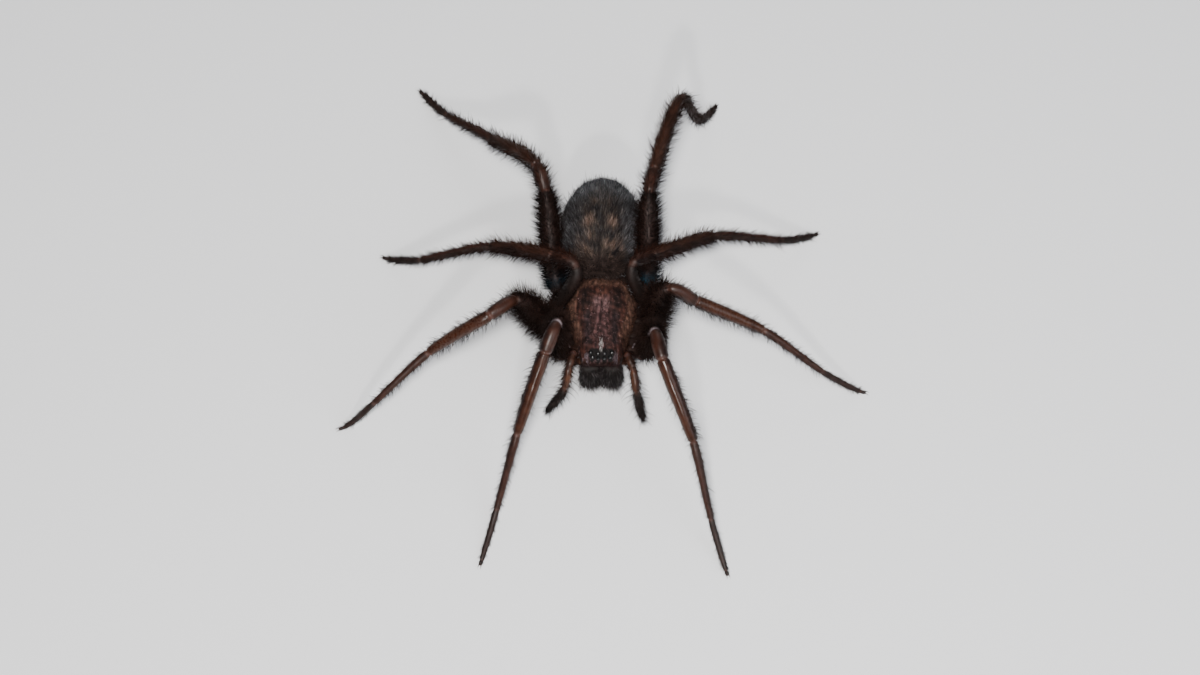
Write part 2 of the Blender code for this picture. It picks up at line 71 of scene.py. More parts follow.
CARAPACE_GROOVES = (
    ((0.0, 1.55), (0.0, 2.15), 0.12),
    ((0.30, 1.40), (1.80, -1.00), 0.07),
)
GROOVE_WIDTH = 0.24
# Where the faint grooves that fan out from the pit lie, in degrees from the tail
FAN_GROOVES = (28, 62, 96)
FAN_DEPTH = 0.012
PIT_Y = 1.85

STERNUM = (
    (2.45, 0.30, 0.40),
    (2.15, 0.66, 0.56),
    (1.40, 1.02, 0.64),
    (0.40, 1.24, 0.66),
    (-0.60, 1.18, 0.64),
    (-1.35, 0.82, 0.58),
    (-1.66, 0.44, 0.46),
    (-2.02, 0.42, 0.42),
    (-2.40, 0.26, 0.32),
)
STERNUM_HEIGHT = 2.08

# Abdomen stations from the waist to the spinnerets: y, middle height, half width, height above and below
ABDOMEN = (
    (3.72, 4.40, 0.66, 0.54, 0.34),
    (3.88, 4.36, 1.34, 1.08, 0.66),
    (4.28, 4.25, 1.94, 1.68, 1.24),
    (4.95, 4.14, 2.44, 2.18, 1.96),
    (6.00, 4.05, 2.80, 2.54, 2.40),
    (7.20, 4.00, 2.95, 2.66, 2.52),
    (8.30, 3.92, 2.94, 2.58, 2.40),
    (9.30, 3.80, 2.74, 2.34, 2.08),
    (10.20, 3.64, 2.30, 1.96, 1.60),
    (10.90, 3.44, 1.66, 1.44, 1.10),
    (11.35, 3.28, 0.92, 0.86, 0.66),
)
ABDOMEN_ROWS = 130
ABDOMEN_COLUMNS = 120
ABDOMEN_SKIN = 0.965
ABDOMEN_SHIFT = -0.20
ABDOMEN_YAW = math.radians(-3)
ABDOMEN_END_TILT = math.radians(30)
# The two pairs of muscle marks on its back: distance from the middle line, y, half width and half length
MUSCLE_MARKS = ((0.92, 6.86, 0.32, 0.34), (0.60, 8.45, 0.20, 0.24))
# The angled marks behind them: the y of each one's middle and of its outer ends, and how far out it goes
CHEVRONS = ((8.30, 8.85, 1.05), (9.05, 9.50, 0.85), (9.65, 10.00, 0.62))

PEDICEL_POINTS = ((0.0, 2.60, 2.34), (0.0, 3.05, 2.34), (0.0, 3.60, 2.38), (0.0, 4.16, 2.58))
PEDICEL_RADIUS = 0.30

EYE_RADII = {"front_median": 0.14, "front_lateral": 0.15, "rear_median": 0.14, "rear_lateral": 0.15}

# Chelicera rings from its root to its end: height, y, half width, half depth
CHELICERA = (
    (3.36, -3.30, 0.62, 0.36),
    (3.20, -3.42, 0.74, 0.50),
    (2.86, -3.56, 0.78, 0.62),
    (2.42, -3.64, 0.78, 0.65),
    (1.98, -3.68, 0.77, 0.61),
    (1.54, -3.72, 0.73, 0.54),
    (1.28, -3.76, 0.58, 0.38),
)
CHELICERA_MIDDLE = 0.83
CHELICERA_SQUARENESS = 0.82
FANG_POINTS = ((1.06, -3.84, 1.02), (0.86, -3.96, 0.90), (0.58, -3.88, 0.86), (0.34, -3.68, 0.90))
FANG_RADII = (0.17, 0.15, 0.11, 0.03)
# The coats of a chelicera: which part it grows on, hairs a square mm, length, lift, colour, radius, swirl
# and unevenness
CHELICERA_COATS = (
    ("front", 130, 0.42, (44, 20), (0.008, 0.0066, 0.007), 0.0130, 0.40, 0.25),
    ("front", 22, 0.50, (48, 26), (0.115, 0.103, 0.106), 0.0120, 0.50, 0.25),
    ("lower", 44, 0.54, (62, 48), (0.012, 0.010, 0.010), 0.0115, 0.40, 0.25),
    ("inner", 160, 0.42, (74, 50), (0.015, 0.011, 0.011), 0.0130, 0.60, 0.25),
    ("end", 240, 0.74, (36, 50), (0.060, 0.050, 0.047), 0.0110, 0.35, 0.45),
)

MAXILLA_POINTS = (
    (0.62, -2.86, 1.70),
    (0.80, -2.60, 1.78),
    (1.08, -2.46, 1.90),
    (1.42, -2.46, 2.04),
    (1.72, -2.50, 2.16),
)
MAXILLA_RADII = (0.20, 0.36, 0.42, 0.38, 0.30)

# Pairs of spinnerets: distance from the middle line, height on the abdomen's end, length and root radius
SPINNERETS = {
    "front": (0.28, -0.22, 0.78, 0.24),
    "middle": (0.11, 0.02, 0.56, 0.09),
    "rear": (0.25, 0.25, 0.80, 0.19),
}
SPINNERET_SHAPE = ((0.0, 1.0), (0.3, 0.98), (0.6, 0.84), (0.66, 0.72), (0.85, 0.66), (1.0, 0.38))
SPINNERET_SPREAD = 0.06
SPINNERET_LEAN = 0.25
MOUND = ((0.0, 0.96), (0.14, 0.92), (0.30, 0.74), (0.40, 0.50))

# Each podomere's radius, as shares of its length from its near end
PODOMERES = {
    "coxa": ((0.0, 0.36), (0.25, 0.48), (0.65, 0.58), (1.0, 0.54)),
    "trochanter": ((0.0, 0.54), (0.5, 0.57), (1.0, 0.50)),
    "femur": ((0.0, 0.49), (0.10, 0.60), (0.28, 0.72), (0.50, 0.75), (0.70, 0.70), (0.86, 0.60), (1.0, 0.46)),
    "patella": ((0.0, 0.44), (0.30, 0.53), (0.70, 0.55), (1.0, 0.48)),
    "tibia": ((0.0, 0.48), (0.12, 0.51), (0.40, 0.51), (0.70, 0.46), (0.92, 0.40), (1.0, 0.34)),
    "metatarsus": ((0.0, 0.32), (0.10, 0.35), (0.50, 0.31), (0.85, 0.28), (1.0, 0.26)),
    "tarsus": ((0.0, 0.26), (0.12, 0.27), (0.55, 0.26), (0.88, 0.22), (1.0, 0.18)),
    "claw_base": ((0.0, 0.18), (0.6, 0.17), (1.0, 0.13)),
}
PODOMERE_NAMES = tuple(PODOMERES)
FEMUR, PATELLA, TIBIA = 2, 3, 4
BOW = {"femur": 0.08, "tibia": 0.05, "metatarsus": 0.08}
TURN_SHARE = 0.30
TURN_MOST = 1.30
TROCHANTER_LENGTH = 0.55
CLAW_BASE_LENGTH = 0.40
SOLE_MIDDLE = 0.13

# Each pair of legs: the coxa's root, the femur's root, the thickness against the shape above, and the
# lengths of femur, patella, tibia, metatarsus and tarsus
PAIRS = {
    1: ((1.12, -1.35, 2.00), (3.15, -1.94, 2.55), 1.00, (6.3, 2.3, 6.5, 6.1, 4.0)),
    2: ((1.37, -0.32, 2.00), (3.40, -0.31, 2.50), 0.95, (5.8, 2.4, 5.8, 5.6, 3.6)),
    3: ((1.38, 0.72, 2.00), (3.54, 1.20, 2.50), 0.92, (4.9, 2.1, 5.7, 5.7, 3.3)),
    4: ((1.14, 1.84, 2.00), (3.30, 3.20, 2.50), 0.96, (7.6, 2.1, 6.3, 5.3, 3.2)),
}
# How much stouter, or slimmer below 0, than the shape above the middle of each pair's femora is
FEMUR_SWELL = {1: 0.05, 2: 0.20, 3: -0.20, 4: 0.04}
# Each leg's headings, in degrees from straight out to its own side towards the tail, and its pitches
# above level; the tarsus pitches down to the floor, whatever is left
POSE = {
    (1, "left"): ((-55, -76, -66, -74, -72), (77, 5, -32, -36)),
    (1, "right"): ((-71, -68, -67, -71, -74), (85, -11, -36, -38)),
    (2, "left"): ((35, -12, -15, -27, -16), (70, -30, -24, -26)),
    (2, "right"): ((8, -38, -20, -37, -22), (58, 13, -32, -24)),
    (3, "left"): ((119, 38, 28, 8, 25), (60, -24, -19, -23)),
    (3, "right"): ((128, 32, 22, -2, 19), (58, -14, -24, -20)),
    (4, "left"): ((87, 79, 71, 26, 59), (38, -5, 2, -71)),
    (4, "right"): ((82, 70, 48, 42, 50), (27, 17, -31, -25)),
}

# The palps: root, lengths, headings and pitches of trochanter, femur, patella, tibia and tarsus, and radii as
# shares of the length
PALP_ROOT = (1.78, -2.52, 2.18)
PALP_LENGTHS = (0.42, 2.25, 1.10, 1.70, 2.45)
PALP_POSE = {
    "left": ((-13, -102, -70, -80, -71), (31, 75, -10, -33, -47)),
    "right": ((-13, -90, -75, -72, -43), (28, 79, -4, -47, -43)),
}
PALP_SHAPE = (
    ((0.0, 0.27), (0.5, 0.30), (1.0, 0.28)),
    ((0.0, 0.28), (0.25, 0.34), (0.60, 0.35), (1.0, 0.26)),
    ((0.0, 0.25), (0.40, 0.32), (1.0, 0.27)),
    ((0.0, 0.27), (0.35, 0.34), (1.0, 0.28)),
    ((0.0, 0.29), (0.20, 0.34), (0.65, 0.30), (0.90, 0.20), (1.0, 0.10)),
)

# The soft folds between the roots of the legs, and one behind the last, on the left side
FOLDS = (
    ((1.6, -0.90, 2.10), (2.2, -0.95, 2.20), (2.9, -1.05, 2.35)),
    ((1.6, 0.15, 2.10), (2.2, 0.20, 2.20), (2.9, 0.35, 2.35)),
    ((1.6, 1.25, 2.10), (2.3, 1.38, 2.20), (3.0, 1.55, 2.35)),
    ((0.9, 3.40, 2.55), (1.5, 3.90, 2.60), (2.1, 4.00, 2.55)),
)
FOLD_RADII = (0.40, 0.40, 0.28)
# A painted highlight: a pale rim on the first coxa that stands for a bright streak there, and the gap in the
# hair over it, on the left side
HIGHLIGHT_RIM = ((2.70, -0.92, 2.60), (2.61, -1.20, 2.72), (2.50, -1.42, 2.82), (2.36, -1.74, 2.98))
HIGHLIGHT_RIM_RADII = (0.05, 0.075, 0.075, 0.05)
HIGHLIGHT_GAP = (2.55, -1.75, 3.40)

# Fine shape of a limb's skin
LIMB_ROWS_PER_MM = 8
LIMB_COLUMNS = 26
# How wide the pale skin at each joint is, counted from the coxa's root
LEG_MEMBRANES = (0.05, 0.16, 0.26, 0.10, 0.12, 0.24, 0.10, 0.03, 0.02)
PALP_MEMBRANES = (0.05, 0.10, 0.10, 0.10, 0.12, 0.05)
JOINT_DEPTH = 0.17
JOINT_WIDTH = 0.10
COLLAR_RISE = 0.05
COLLAR_PLACE = 0.22
COLLAR_WIDTH = 0.09

# The looks of each podomere of a leg: how much of the solid's radius the skin takes, the rest being hair, the
# shell's linear colours on its back and sides, and its gloss
LEG_LOOKS = {
    "coxa": (0.95, (0.054, 0.024, 0.017), (0.032, 0.015, 0.011), 0.0),
    "trochanter": (0.95, (0.056, 0.025, 0.018), (0.032, 0.015, 0.011), 0.0),
    "femur": (0.90, (0.022, 0.0105, 0.0082), (0.014, 0.0078, 0.0064), 0.0),
    "patella": (0.96, (0.031, 0.0104, 0.0060), (0.012, 0.0047, 0.0036), 0.6),
    "tibia": (0.97, (0.037, 0.0135, 0.0075), (0.015, 0.006, 0.0045), 1.0),
    "metatarsus": (0.92, (0.031, 0.011, 0.007), (0.015, 0.006, 0.0045), 0.7),
    "tarsus": (0.88, (0.018, 0.008, 0.006), (0.012, 0.006, 0.005), 0.3),
    "claw_base": (0.86, (0.012, 0.006, 0.005), (0.010, 0.005, 0.004), 0.2),
}
# Hair on each podomere in turn: hairs a square mm, length in mm, and degrees from the skin at root and tip
SHORT_HAIR = (
    (44, 0.32, 42, 14), (52, 0.36, 42, 14), (120, 0.42, 40, 16), (75, 0.38, 38, 10),
    (80, 0.40, 38, 10), (90, 0.34, 40, 14), (120, 0.28, 42, 18), (120, 0.20, 40, 20),
)
LONG_HAIR = (
    (12, 0.55, 70, 50), (22, 0.75, 76, 58), (96, 1.00, 66, 62), (40, 0.80, 66, 46),
    (48, 0.78, 60, 44), (36, 0.60, 58, 42), (24, 0.44, 60, 42), (0, 0.30, 60, 40),
)
# The coats of a leg: their hair, how far it swirls, and its radius
LEG_COATS = ((SHORT_HAIR, 0.30, 0.0135), (LONG_HAIR, 0.26, 0.0150))
# The joints at the ends of the femur, counted from the coxa's root, and the knee's colour in the first legs
HIP, KNEE = 2, 3
LILAC = (0.300, 0.250, 0.270)
MEMBRANE = (0.075, 0.036, 0.028)
ROOT_MEMBRANE = (0.090, 0.054, 0.052)
# The looks of each podomere of a palp, and then how close and how long its short and its long hairs are
PALP_LOOKS = (
    (0.92, (0.060, 0.022, 0.012), (0.028, 0.011, 0.007), 0.3, 60, 0.30, 4, 0.40),
    (0.94, (0.060, 0.021, 0.011), (0.026, 0.009, 0.006), 0.7, 50, 0.32, 6, 0.50),
    (0.92, (0.050, 0.020, 0.012), (0.024, 0.010, 0.007), 0.5, 90, 0.34, 16, 0.65),
    (0.90, (0.076, 0.031, 0.017), (0.032, 0.012, 0.008), 0.8, 70, 0.34, 18, 0.78),
    (0.76, (0.017, 0.010, 0.0085), (0.013, 0.008, 0.007), 0.1, 170, 0.36, 26, 0.70),
)
TAN_BROWN = (0.070, 0.036, 0.026)
DARK_RED = (0.030, 0.011, 0.008)
EYE_BLACK = (0.003, 0.003, 0.003)
FIELD_BLACK = (0.004, 0.003, 0.003)
PURPLE_RED = (0.030, 0.012, 0.012)
WEDGE_RED = (0.054, 0.020, 0.014)
CLYPEUS_PINK = (0.110, 0.062, 0.066)
PURPLE_GREY = (0.019, 0.012, 0.013)
PALE_PURPLE = (0.230, 0.140, 0.140)
BLACK_BROWN = (0.008, 0.0045, 0.004)
PALE_HAIR = (0.520, 0.490, 0.480)
CHARCOAL = (0.028, 0.027, 0.029)
OLIVE_BROWN = (0.072, 0.054, 0.043)
SPOT_BROWN = (0.160, 0.104, 0.080)
# Painted sheen: the bluish grey laid on the abdomen's flanks
FLANK_SHEEN_GREY = (0.080, 0.080, 0.087)
REAR_GREY = (0.080, 0.083, 0.090)
WAIST_BROWN = (0.034, 0.021, 0.017)
LUNG_TAN = (0.11, 0.062, 0.036)
SPINNERET_BROWN = (0.075, 0.045, 0.030)
SIEVE_PLATE = (0.16, 0.13, 0.10)
PEDICEL_BROWN = (0.050, 0.030, 0.022)
CHELICERA_BLACK = (0.008, 0.0055, 0.0050)
CHELICERA_RED = (0.024, 0.010, 0.008)
FANG_RED = (0.040, 0.008, 0.004)
MAXILLA_BROWN = (0.070, 0.032, 0.019)
STERNUM_BROWN = (0.058, 0.028, 0.018)
STERNUM_EDGE = (0.024, 0.012, 0.009)
PLEURA_BROWN = (0.022, 0.012, 0.010)
PLEURA_BOTTOM = 1.85
FOLD_BROWN = (0.018, 0.009, 0.0075)
CLAW_BROWN = (0.020, 0.010, 0.008)
CLAW_TOOTH = (0.014, 0.011, 0.007, 0.002)
# What the hair of legs and palps adds to the shell's colour
LEG_HAIR_TINT = (0.0034, 0.0026, 0.0023)
PALP_HAIR_TINT = (0.0025, 0.002, 0.0018)
# The blue-green gleam at the roots of the last pair of legs: its colour, place, radius and strength
TEAL = (0.008, 0.085, 0.135)
TEAL_PLACE = (3.40, 3.40, 3.25)
TEAL_RADIUS = 0.58
TEAL_STRENGTH = {"left": 0.95, "right": 0.15}

# How each pair's hair compares with the table's: how close it is on the back of the patella and tibia and on
# the rest of the leg past the femur, and how long it is up to the femur and past it. Last, how glossy
# the pair's shell is
PAIR_HAIR = {
    1: (0.08, 0.50, 0.76, 0.66, 1.0),
    2: (0.15, 0.65, 1.10, 0.80, 0.9),
    3: (0.90, 1.20, 0.90, 1.05, 0.15),
    4: (0.75, 1.00, 0.80, 1.05, 0.6),
}
# Where the hair of the last femora is thickest, in the gap beside the waist on the left side
ARMPIT = (2.65, 4.20, 3.20)
# The bristles of a palp: podomere, share along it and length in mm, all on its inner side
PALP_BRISTLES = (
    (2, 0.60, 0.80), (3, 0.30, 1.00), (3, 0.60, 1.15), (3, 0.85, 1.25),
    (4, 0.12, 1.10), (4, 0.30, 0.90), (4, 0.50, 0.75),
)
# The strong bristles: pair, podomere, share along it, degrees round it from its back, and length in mm
SPINES = (
    (1, "tibia", 0.30, 150, 1.0), (1, "tibia", 0.60, 205, 1.0), (1, "metatarsus", 0.25, 155, 0.9),
    (1, "metatarsus", 0.60, 205, 0.8), (2, "tibia", 0.35, 150, 1.0), (2, "metatarsus", 0.30, 200, 0.9),
    (2, "femur", 0.55, 20, 0.9), (3, "femur", 0.50, 340, 1.0), (3, "tibia", 0.25, 80, 1.1),
    (3, "tibia", 0.60, 280, 1.1), (3, "metatarsus", 0.20, 85, 1.1), (3, "metatarsus", 0.50, 275, 1.0),
    (3, "metatarsus", 0.90, 120, 0.8), (4, "femur", 0.45, 20, 1.0), (4, "tibia", 0.30, 75, 1.3),
    (4, "tibia", 0.34, 285, 1.2), (4, "tibia", 0.66, 80, 1.4), (4, "tibia", 0.72, 280, 1.2),
    (4, "metatarsus", 0.15, 80, 1.3), (4, "metatarsus", 0.45, 275, 1.2), (4, "metatarsus", 0.75, 90, 1.1),
    (4, "metatarsus", 0.95, 250, 0.8),
)

HAIR_SHAPE = ((0.0, 1.0), (0.35, 0.86), (0.70, 0.55))
FUZZ_SHAPE = ((0.0, 1.0), (0.50, 0.74))
SPINE_SHAPE = ((0.0, 1.0), (0.2, 0.94), (0.45, 0.78), (0.75, 0.45))
HAIR_SIDES = 3
HAIR_SUNK = 0.03
HAIR_CLEAR = 0.012
PATCH = 0.003
SHORTEST_HAIR = 0.05
LIFT_SPREAD = 8
DARKEST = 0.003
SEED = 20

# Each surface: roughness where the fine grain is low and high, strength of its bumps, and specular level
SURFACES = {
    "head shell": (0.45, 0.62, 0.35, 0.20),
    "leg shell": (0.19, 0.30, 0.15, 0.26),
    "dark shell": (0.50, 0.66, 0.30, 0.15),
    "abdomen skin": (0.60, 0.80, 0.40, 0.15),
    "soft skin": (0.45, 0.60, 0.50, 0.25),
    "horn": (0.12, 0.20, 0.05, 0.45),
    "eye": (0.04, 0.07, 0.00, 0.70),
    "leg hair": (0.50, 0.65, 0.00, 0.05),
    "body hair": (0.48, 0.62, 0.00, 0.08),
}
# The wires between a surface's nodes: from a node's output to a node's input
WIRES = (
    ("place", "Object", "fine", "Vector"), ("place", "Object", "coarse", "Vector"),
    ("coarse", "Fac", "shade", "Value"), ("fine", "Fac", "gloss", "Value"), ("tint", "Color", "blend", 0),
    ("shade", "Result", "blend", "Scale"), ("blend", "Vector", "shader", "Base Color"),
    ("tint", "Alpha", "matt", "Value"), ("gloss", "Result", "dull", 0), ("matt", "Result", "dull", 1),
    ("dull", "Value", "shader", "Roughness"), ("fine", "Fac", "relief", "Height"),
    ("relief", "Normal", "shader", "Normal"),
)
# Each light: its place and size in mm, its power, how much it shines, and its colour
LIGHTS = {
    "key": ((-8, -75, 205), 34, 0.66, 1.0, (1.0, 0.97, 0.93)),
    "low": ((-6, -165, 145), 12, 0.20, 1.0, (1.0, 0.97, 0.94)),
    "fill": ((150, -90, 140), 160, 0.24, 0.2, (0.92, 0.96, 1.0)),
    "rim": ((20, 190, 120), 120, 0.08, 0.3, (1.0, 1.0, 1.0)),
}
LIGHTS_AIM = (0.0, 0.0, 3.0)
FLOOR_HALF = 0.6
FLOOR_DROP = 0.00001
FLOOR_COLOUR = (0.78, 0.79, 0.81, 1.0)
SURROUND = (0.85, 0.90, 1.0, 1.0)
SURROUND_STRENGTH = 0.16


def unit(vectors):
    """Each vector of an array at length 1."""
    return vectors / np.maximum(np.linalg.norm(vectors, axis=-1, keepdims=True), 1e-9)


def mix(near, far, share):
    """near where the share is 0 and far where it is 1, for colours or points."""
    share = np.asarray(share)[..., None]
    return np.asarray(near) * (1 - share) + np.asarray(far) * share


def hill(value, middle, width):
    """1 at the middle, falling smoothly to 0 about two widths away."""
    return np.exp(-(((value - middle) / width) ** 2))


def step_up(value, low, high):
    """0 below low, 1 above high, and smooth between them."""
    share = np.clip((value - low) / (high - low), 0.0, 1.0)
    return share * share * (3 - 2 * share)


def below(value, edge, width):
    """0 above the edge, 1 more than a width below it, and smooth between them."""
    return step_up(edge - value, 0.0, width)


def grid(x, y, z):
    """Points from three coordinates, each stretched over the others' rows and columns."""
    return np.stack(np.broadcast_arrays(x, y, z), axis=-1)


def ring(count, power=1.0):
    """The cosines and sines round a ring, which is squarer the lower the power is."""
    angle = 2 * math.pi * np.arange(count) / count
    return [np.sign(values) * np.abs(values) ** power for values in (np.cos(angle), np.sin(angle))]


def paint(colour, layers):
    """A grid of colours with others over it, each given with its share."""
    for tint, share in layers:
        colour = mix(colour, tint, np.clip(share, 0, 1))
    return colour


def mottle(points, size, seed, waves=14):
    """A smooth random pattern over points, about from -1 to 1, with patches of about that size in mm."""
    rng = np.random.default_rng(seed)
    total = np.zeros(points.shape[:-1])
    for _ in range(waves):
        wave = unit(rng.normal(size=3)) * 2 * math.pi / (size * rng.uniform(1.3, 3.0))
        total += np.sin(points @ wave + rng.uniform(0, 2 * math.pi))
    return np.clip(total * math.sqrt(2 / waves) / 1.6, -1, 1)


def smooth_curve(knots, values, places):
    """Values at places between the knots, on a smooth curve through all of them."""
    knots, values = np.asarray(knots, float), np.asarray(values, float)
    slopes = np.gradient(values, knots, axis=0)
    step = np.clip(np.searchsorted(knots, places, side="right") - 1, 0, len(knots) - 2)
    width = knots[step + 1] - knots[step]
    share = (places - knots[step]) / width
    if values.ndim > 1:
        width, share = width[:, None], share[:, None]
    rise = values[step + 1] - values[step]
    start, end = slopes[step] * width, slopes[step + 1] * width
    curve = values[step] + start * share + (3 * rise - 2 * start - end) * share**2
    return curve + (start + end - 2 * rise) * share**3


def smooth_stations(stations, rows):
    """The columns of a table of stations at evenly spaced rows."""
    places = np.linspace(0, len(stations) - 1, rows)
    return smooth_curve(np.arange(len(stations)), stations, places).T


def frame_offset():
    """Where the spider's own frame lies in the row frame, from the head shield's solid."""
    low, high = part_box("carapace")
    return np.array([(low.x + high.x) / 2, low.y - CARAPACE[-1][0] * MM, 0.0])


class Skin:
    """A closed surface over rings of points, in mm. Rows run along it and columns run round it."""

    def __init__(self, points, colour, gloss=1.0):
        self.points = points
        self.colour = np.broadcast_to(colour, points.shape)
        self.gloss = np.broadcast_to(gloss, points.shape[:2])
        along = np.gradient(points, axis=0)
        across = (np.roll(points, -1, axis=1) - np.roll(points, 1, axis=1)) / 2
        normal = unit(np.cross(along, across))
        outward = points - points.mean(axis=1, keepdims=True)
        self.turn = 1.0 if np.sum(outward * normal) > 0 else -1.0
        self.normal = normal * self.turn
        self.along = unit(along)
        self.area = np.linalg.norm(along, axis=-1) * np.linalg.norm(across, axis=-1)

    def places(self, density, rng):
        """Random rows and columns on the skin, for a density in hairs a square mm."""
        weight = (self.area * density)[:-1]
        count = int(np.sum(weight))
        cells = rng.choice(weight.size, count, p=weight.ravel() / weight.sum())
        rows, columns = np.divmod(cells, self.points.shape[1])
        return rows + rng.random(count), columns + rng.random(count)

    def read(self, field, rows, columns):
        """Values between the skin's points of a field: one number, one colour, or a grid of either."""
        field = np.broadcast_to(field, self.points.shape[: 3 if np.ndim(field) % 2 else 2])
        low = np.clip(rows.astype(int), 0, field.shape[0] - 2)
        left = columns.astype(int) % field.shape[1]
        right = (left + 1) % field.shape[1]
        down, over = rows - low, columns - np.floor(columns)
        if field.ndim == 3:
            down, over = down[:, None], over[:, None]
        near = field[low, left] * (1 - over) + field[low, right] * over
        far = field[low + 1, left] * (1 - over) + field[low + 1, right] * over
        return near * (1 - down) + far * down

    def arrays(self):
        """Points, quads, triangles and tints, with each end closed round the middle of its ring."""
        rows, columns = self.points.shape[:2]
        index = np.arange(rows * columns).reshape(rows, columns)
        onward = np.roll(index, -1, axis=1)
        quads = np.stack([index[:-1], index[1:], onward[1:], onward[:-1]], axis=-1).reshape(-1, 4)
        near = np.full(columns, rows * columns)
        start = np.stack([near, index[0], onward[0]], axis=-1)
        triangles = np.concatenate([start, np.stack([near + 1, onward[-1], index[-1]], axis=-1)])
        if self.turn < 0:
            quads, triangles = quads[:, ::-1], triangles[:, ::-1]
        tints = np.concatenate([self.colour, self.gloss[..., None]], axis=2)
        points, tints = (
            np.concatenate([field.reshape(-1, field.shape[2]), field[[0, -1]].mean(axis=1)])
            for field in (self.points, tints)
        )
        return points, quads, triangles, tints


def mottled_skin(points, colour, strength, size, seed, gloss=1.0):
    """A skin whose colour is broken up by patches."""
    colour = colour * (1 + strength * mottle(points, size, seed))[..., None]
    return Skin(points, np.clip(colour, DARKEST, 1.0), gloss)


def spokes(ways, columns):
    """The directions from each point of a line to the columns round it, carried along without a twist."""
    up = np.array([0.0, 0.0, 1.0]) if abs(ways[0][2]) < 0.9 else np.array([0.0, 1.0, 0.0])
    ups = []
    for way in ways:
        up = unit(up - way * np.dot(up, way))
        ups.append(up)
    rise, wide = ring(columns)
    return np.array(ups)[:, None] * rise[:, None] + np.cross(ways, ups)[:, None] * wide[:, None]


def tube_skin(points, radii, columns, colour):
    """A round tube along a line of points."""
    out = spokes(unit(np.gradient(points, axis=0)), columns)
    return Skin(points[:, None] + out * np.array(radii)[:, None, None], colour)


def smooth_tube(points, radii, rows, columns, colour):
    """A round tube on a smooth curve through a few points."""
    return tube_skin(smooth_stations(points, rows).T, smooth_stations(radii, rows), columns, colour)


def new_piece(name, parts, material, replaced=()):
    """One mesh object that rides on the body, from parts of points, quads, triangles, tints and patches."""
    starts = np.cumsum([0] + [len(part[0]) for part in parts])
    parts = [(part[0], part[1] + start, part[2] + start, *part[3:]) for part, start in zip(parts, starts)]
    points, quads, triangles, tints, *patches = (np.concatenate(arrays) for arrays in zip(*parts))
    mesh = bpy.data.meshes.new(name)
    mesh.vertices.add(len(points))
    mesh.vertices.foreach_set("co", (points * MM + OFFSET).astype(np.float32).ravel())
    corners = np.concatenate([quads.ravel(), triangles.ravel()]).astype(np.int32)
    loops = np.concatenate([np.arange(len(quads)) * 4, quads.size + np.arange(len(triangles)) * 3])
    mesh.loops.add(len(corners))
    mesh.loops.foreach_set("vertex_index", corners)
    mesh.polygons.add(len(loops))
    mesh.polygons.foreach_set("loop_start", loops.astype(np.int32))
    mesh.polygons.foreach_set("use_smooth", np.ones(len(loops), bool))
    mesh.update(calc_edges=True)
    tint = mesh.color_attributes.new("Tint", "FLOAT_COLOR", "POINT")
    tint.data.foreach_set("color", tints.astype(np.float32).ravel())
    if patches:
        layer = mesh.uv_layers.new(name="OFBake")
        layer.data.foreach_set("uv", patches[0][corners].astype(np.float32).ravel())
    mesh.materials.append(MATERIALS[material])
    piece = bpy.data.objects.new(name, mesh)
    bpy.context.scene.collection.objects.link(piece)
    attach(piece, "root")
    if replaced:
        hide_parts(*replaced)


def skin_piece(name, skins, material, replaced=()):
    """One piece from one or more skins."""
    new_piece(name, [skin.arrays() for skin in skins], material, replaced)


def coat_piece(name, layers, material):
    """One piece from sets of hairs, given as pairs of hairs and shape."""
    parts = [hair_arrays(hairs, shape) for hairs, shape in layers if len(hairs["root"])]
    new_piece(name, parts, material)


def rooted(skin, rows, columns, lie=None):
    """Where hairs stand on a skin, which way is away from it there, and which way they lie."""
    normal = unit(skin.read(skin.normal, rows, columns))
    way = skin.read(skin.along if lie is None else lie, rows, columns)
    return {
        "root": skin.read(skin.points, rows, columns),
        "normal": normal,
        "way": unit(way - normal * np.sum(way * normal, axis=1, keepdims=True)),
        "place": np.stack([columns / skin.points.shape[1], rows / skin.points.shape[0]], axis=1),
    }


def grow(skin, rng, density, length, lift, colour, radius, swirl=0.30, uneven=0.25, lie=None):
    """Hairs rooted at random on a skin. Lift is the degrees from the skin at root and at tip."""
    rows, columns = skin.places(density, rng)
    count = len(rows)
    hairs = rooted(skin, rows, columns, lie)
    turn = rng.normal(0, swirl, count)[:, None]
    hairs["way"] = hairs["way"] * np.cos(turn) + np.cross(hairs["normal"], hairs["way"]) * np.sin(turn)
    shade = np.exp(rng.normal(0, 0.35, count))[:, None]
    spread = 1 + rng.normal(0, uneven, count)
    return hairs | {
        "length": np.maximum(skin.read(length, rows, columns) * spread, SHORTEST_HAIR),
        "radius": skin.read(radius, rows, columns) * rng.uniform(0.8, 1.2, count),
        "start": np.radians(skin.read(lift[0], rows, columns) + rng.normal(0, LIFT_SPREAD, count)),
        "end": np.radians(skin.read(lift[1], rows, columns) + rng.normal(0, LIFT_SPREAD, count)),
        "bend": rng.normal(0, 0.12, count),
        "colour": np.clip(skin.read(colour, rows, columns) * shade, 0.002, 0.9),
    }


def hairs_at(skin, rows, columns, lengths, lift, radius):
    """Black-brown hairs at chosen rows and columns of a skin."""
    rows, columns = np.asarray(rows, float), np.asarray(columns, float)
    count = len(rows)
    return rooted(skin, rows, columns) | {
        "length": np.asarray(lengths, float),
        "radius": np.full(count, radius),
        "start": np.full(count, math.radians(lift[0])),
        "end": np.full(count, math.radians(lift[1])),
        "bend": np.zeros(count),
        "colour": np.broadcast_to(BLACK_BROWN, (count, 3)),
    }


def coats(skin, rng, *layers):
    """Sets of hairs on one skin, each given by the hairs' shape and what grow takes after its rng."""
    return [(grow(skin, rng, *layer), shape) for shape, *layer in layers]


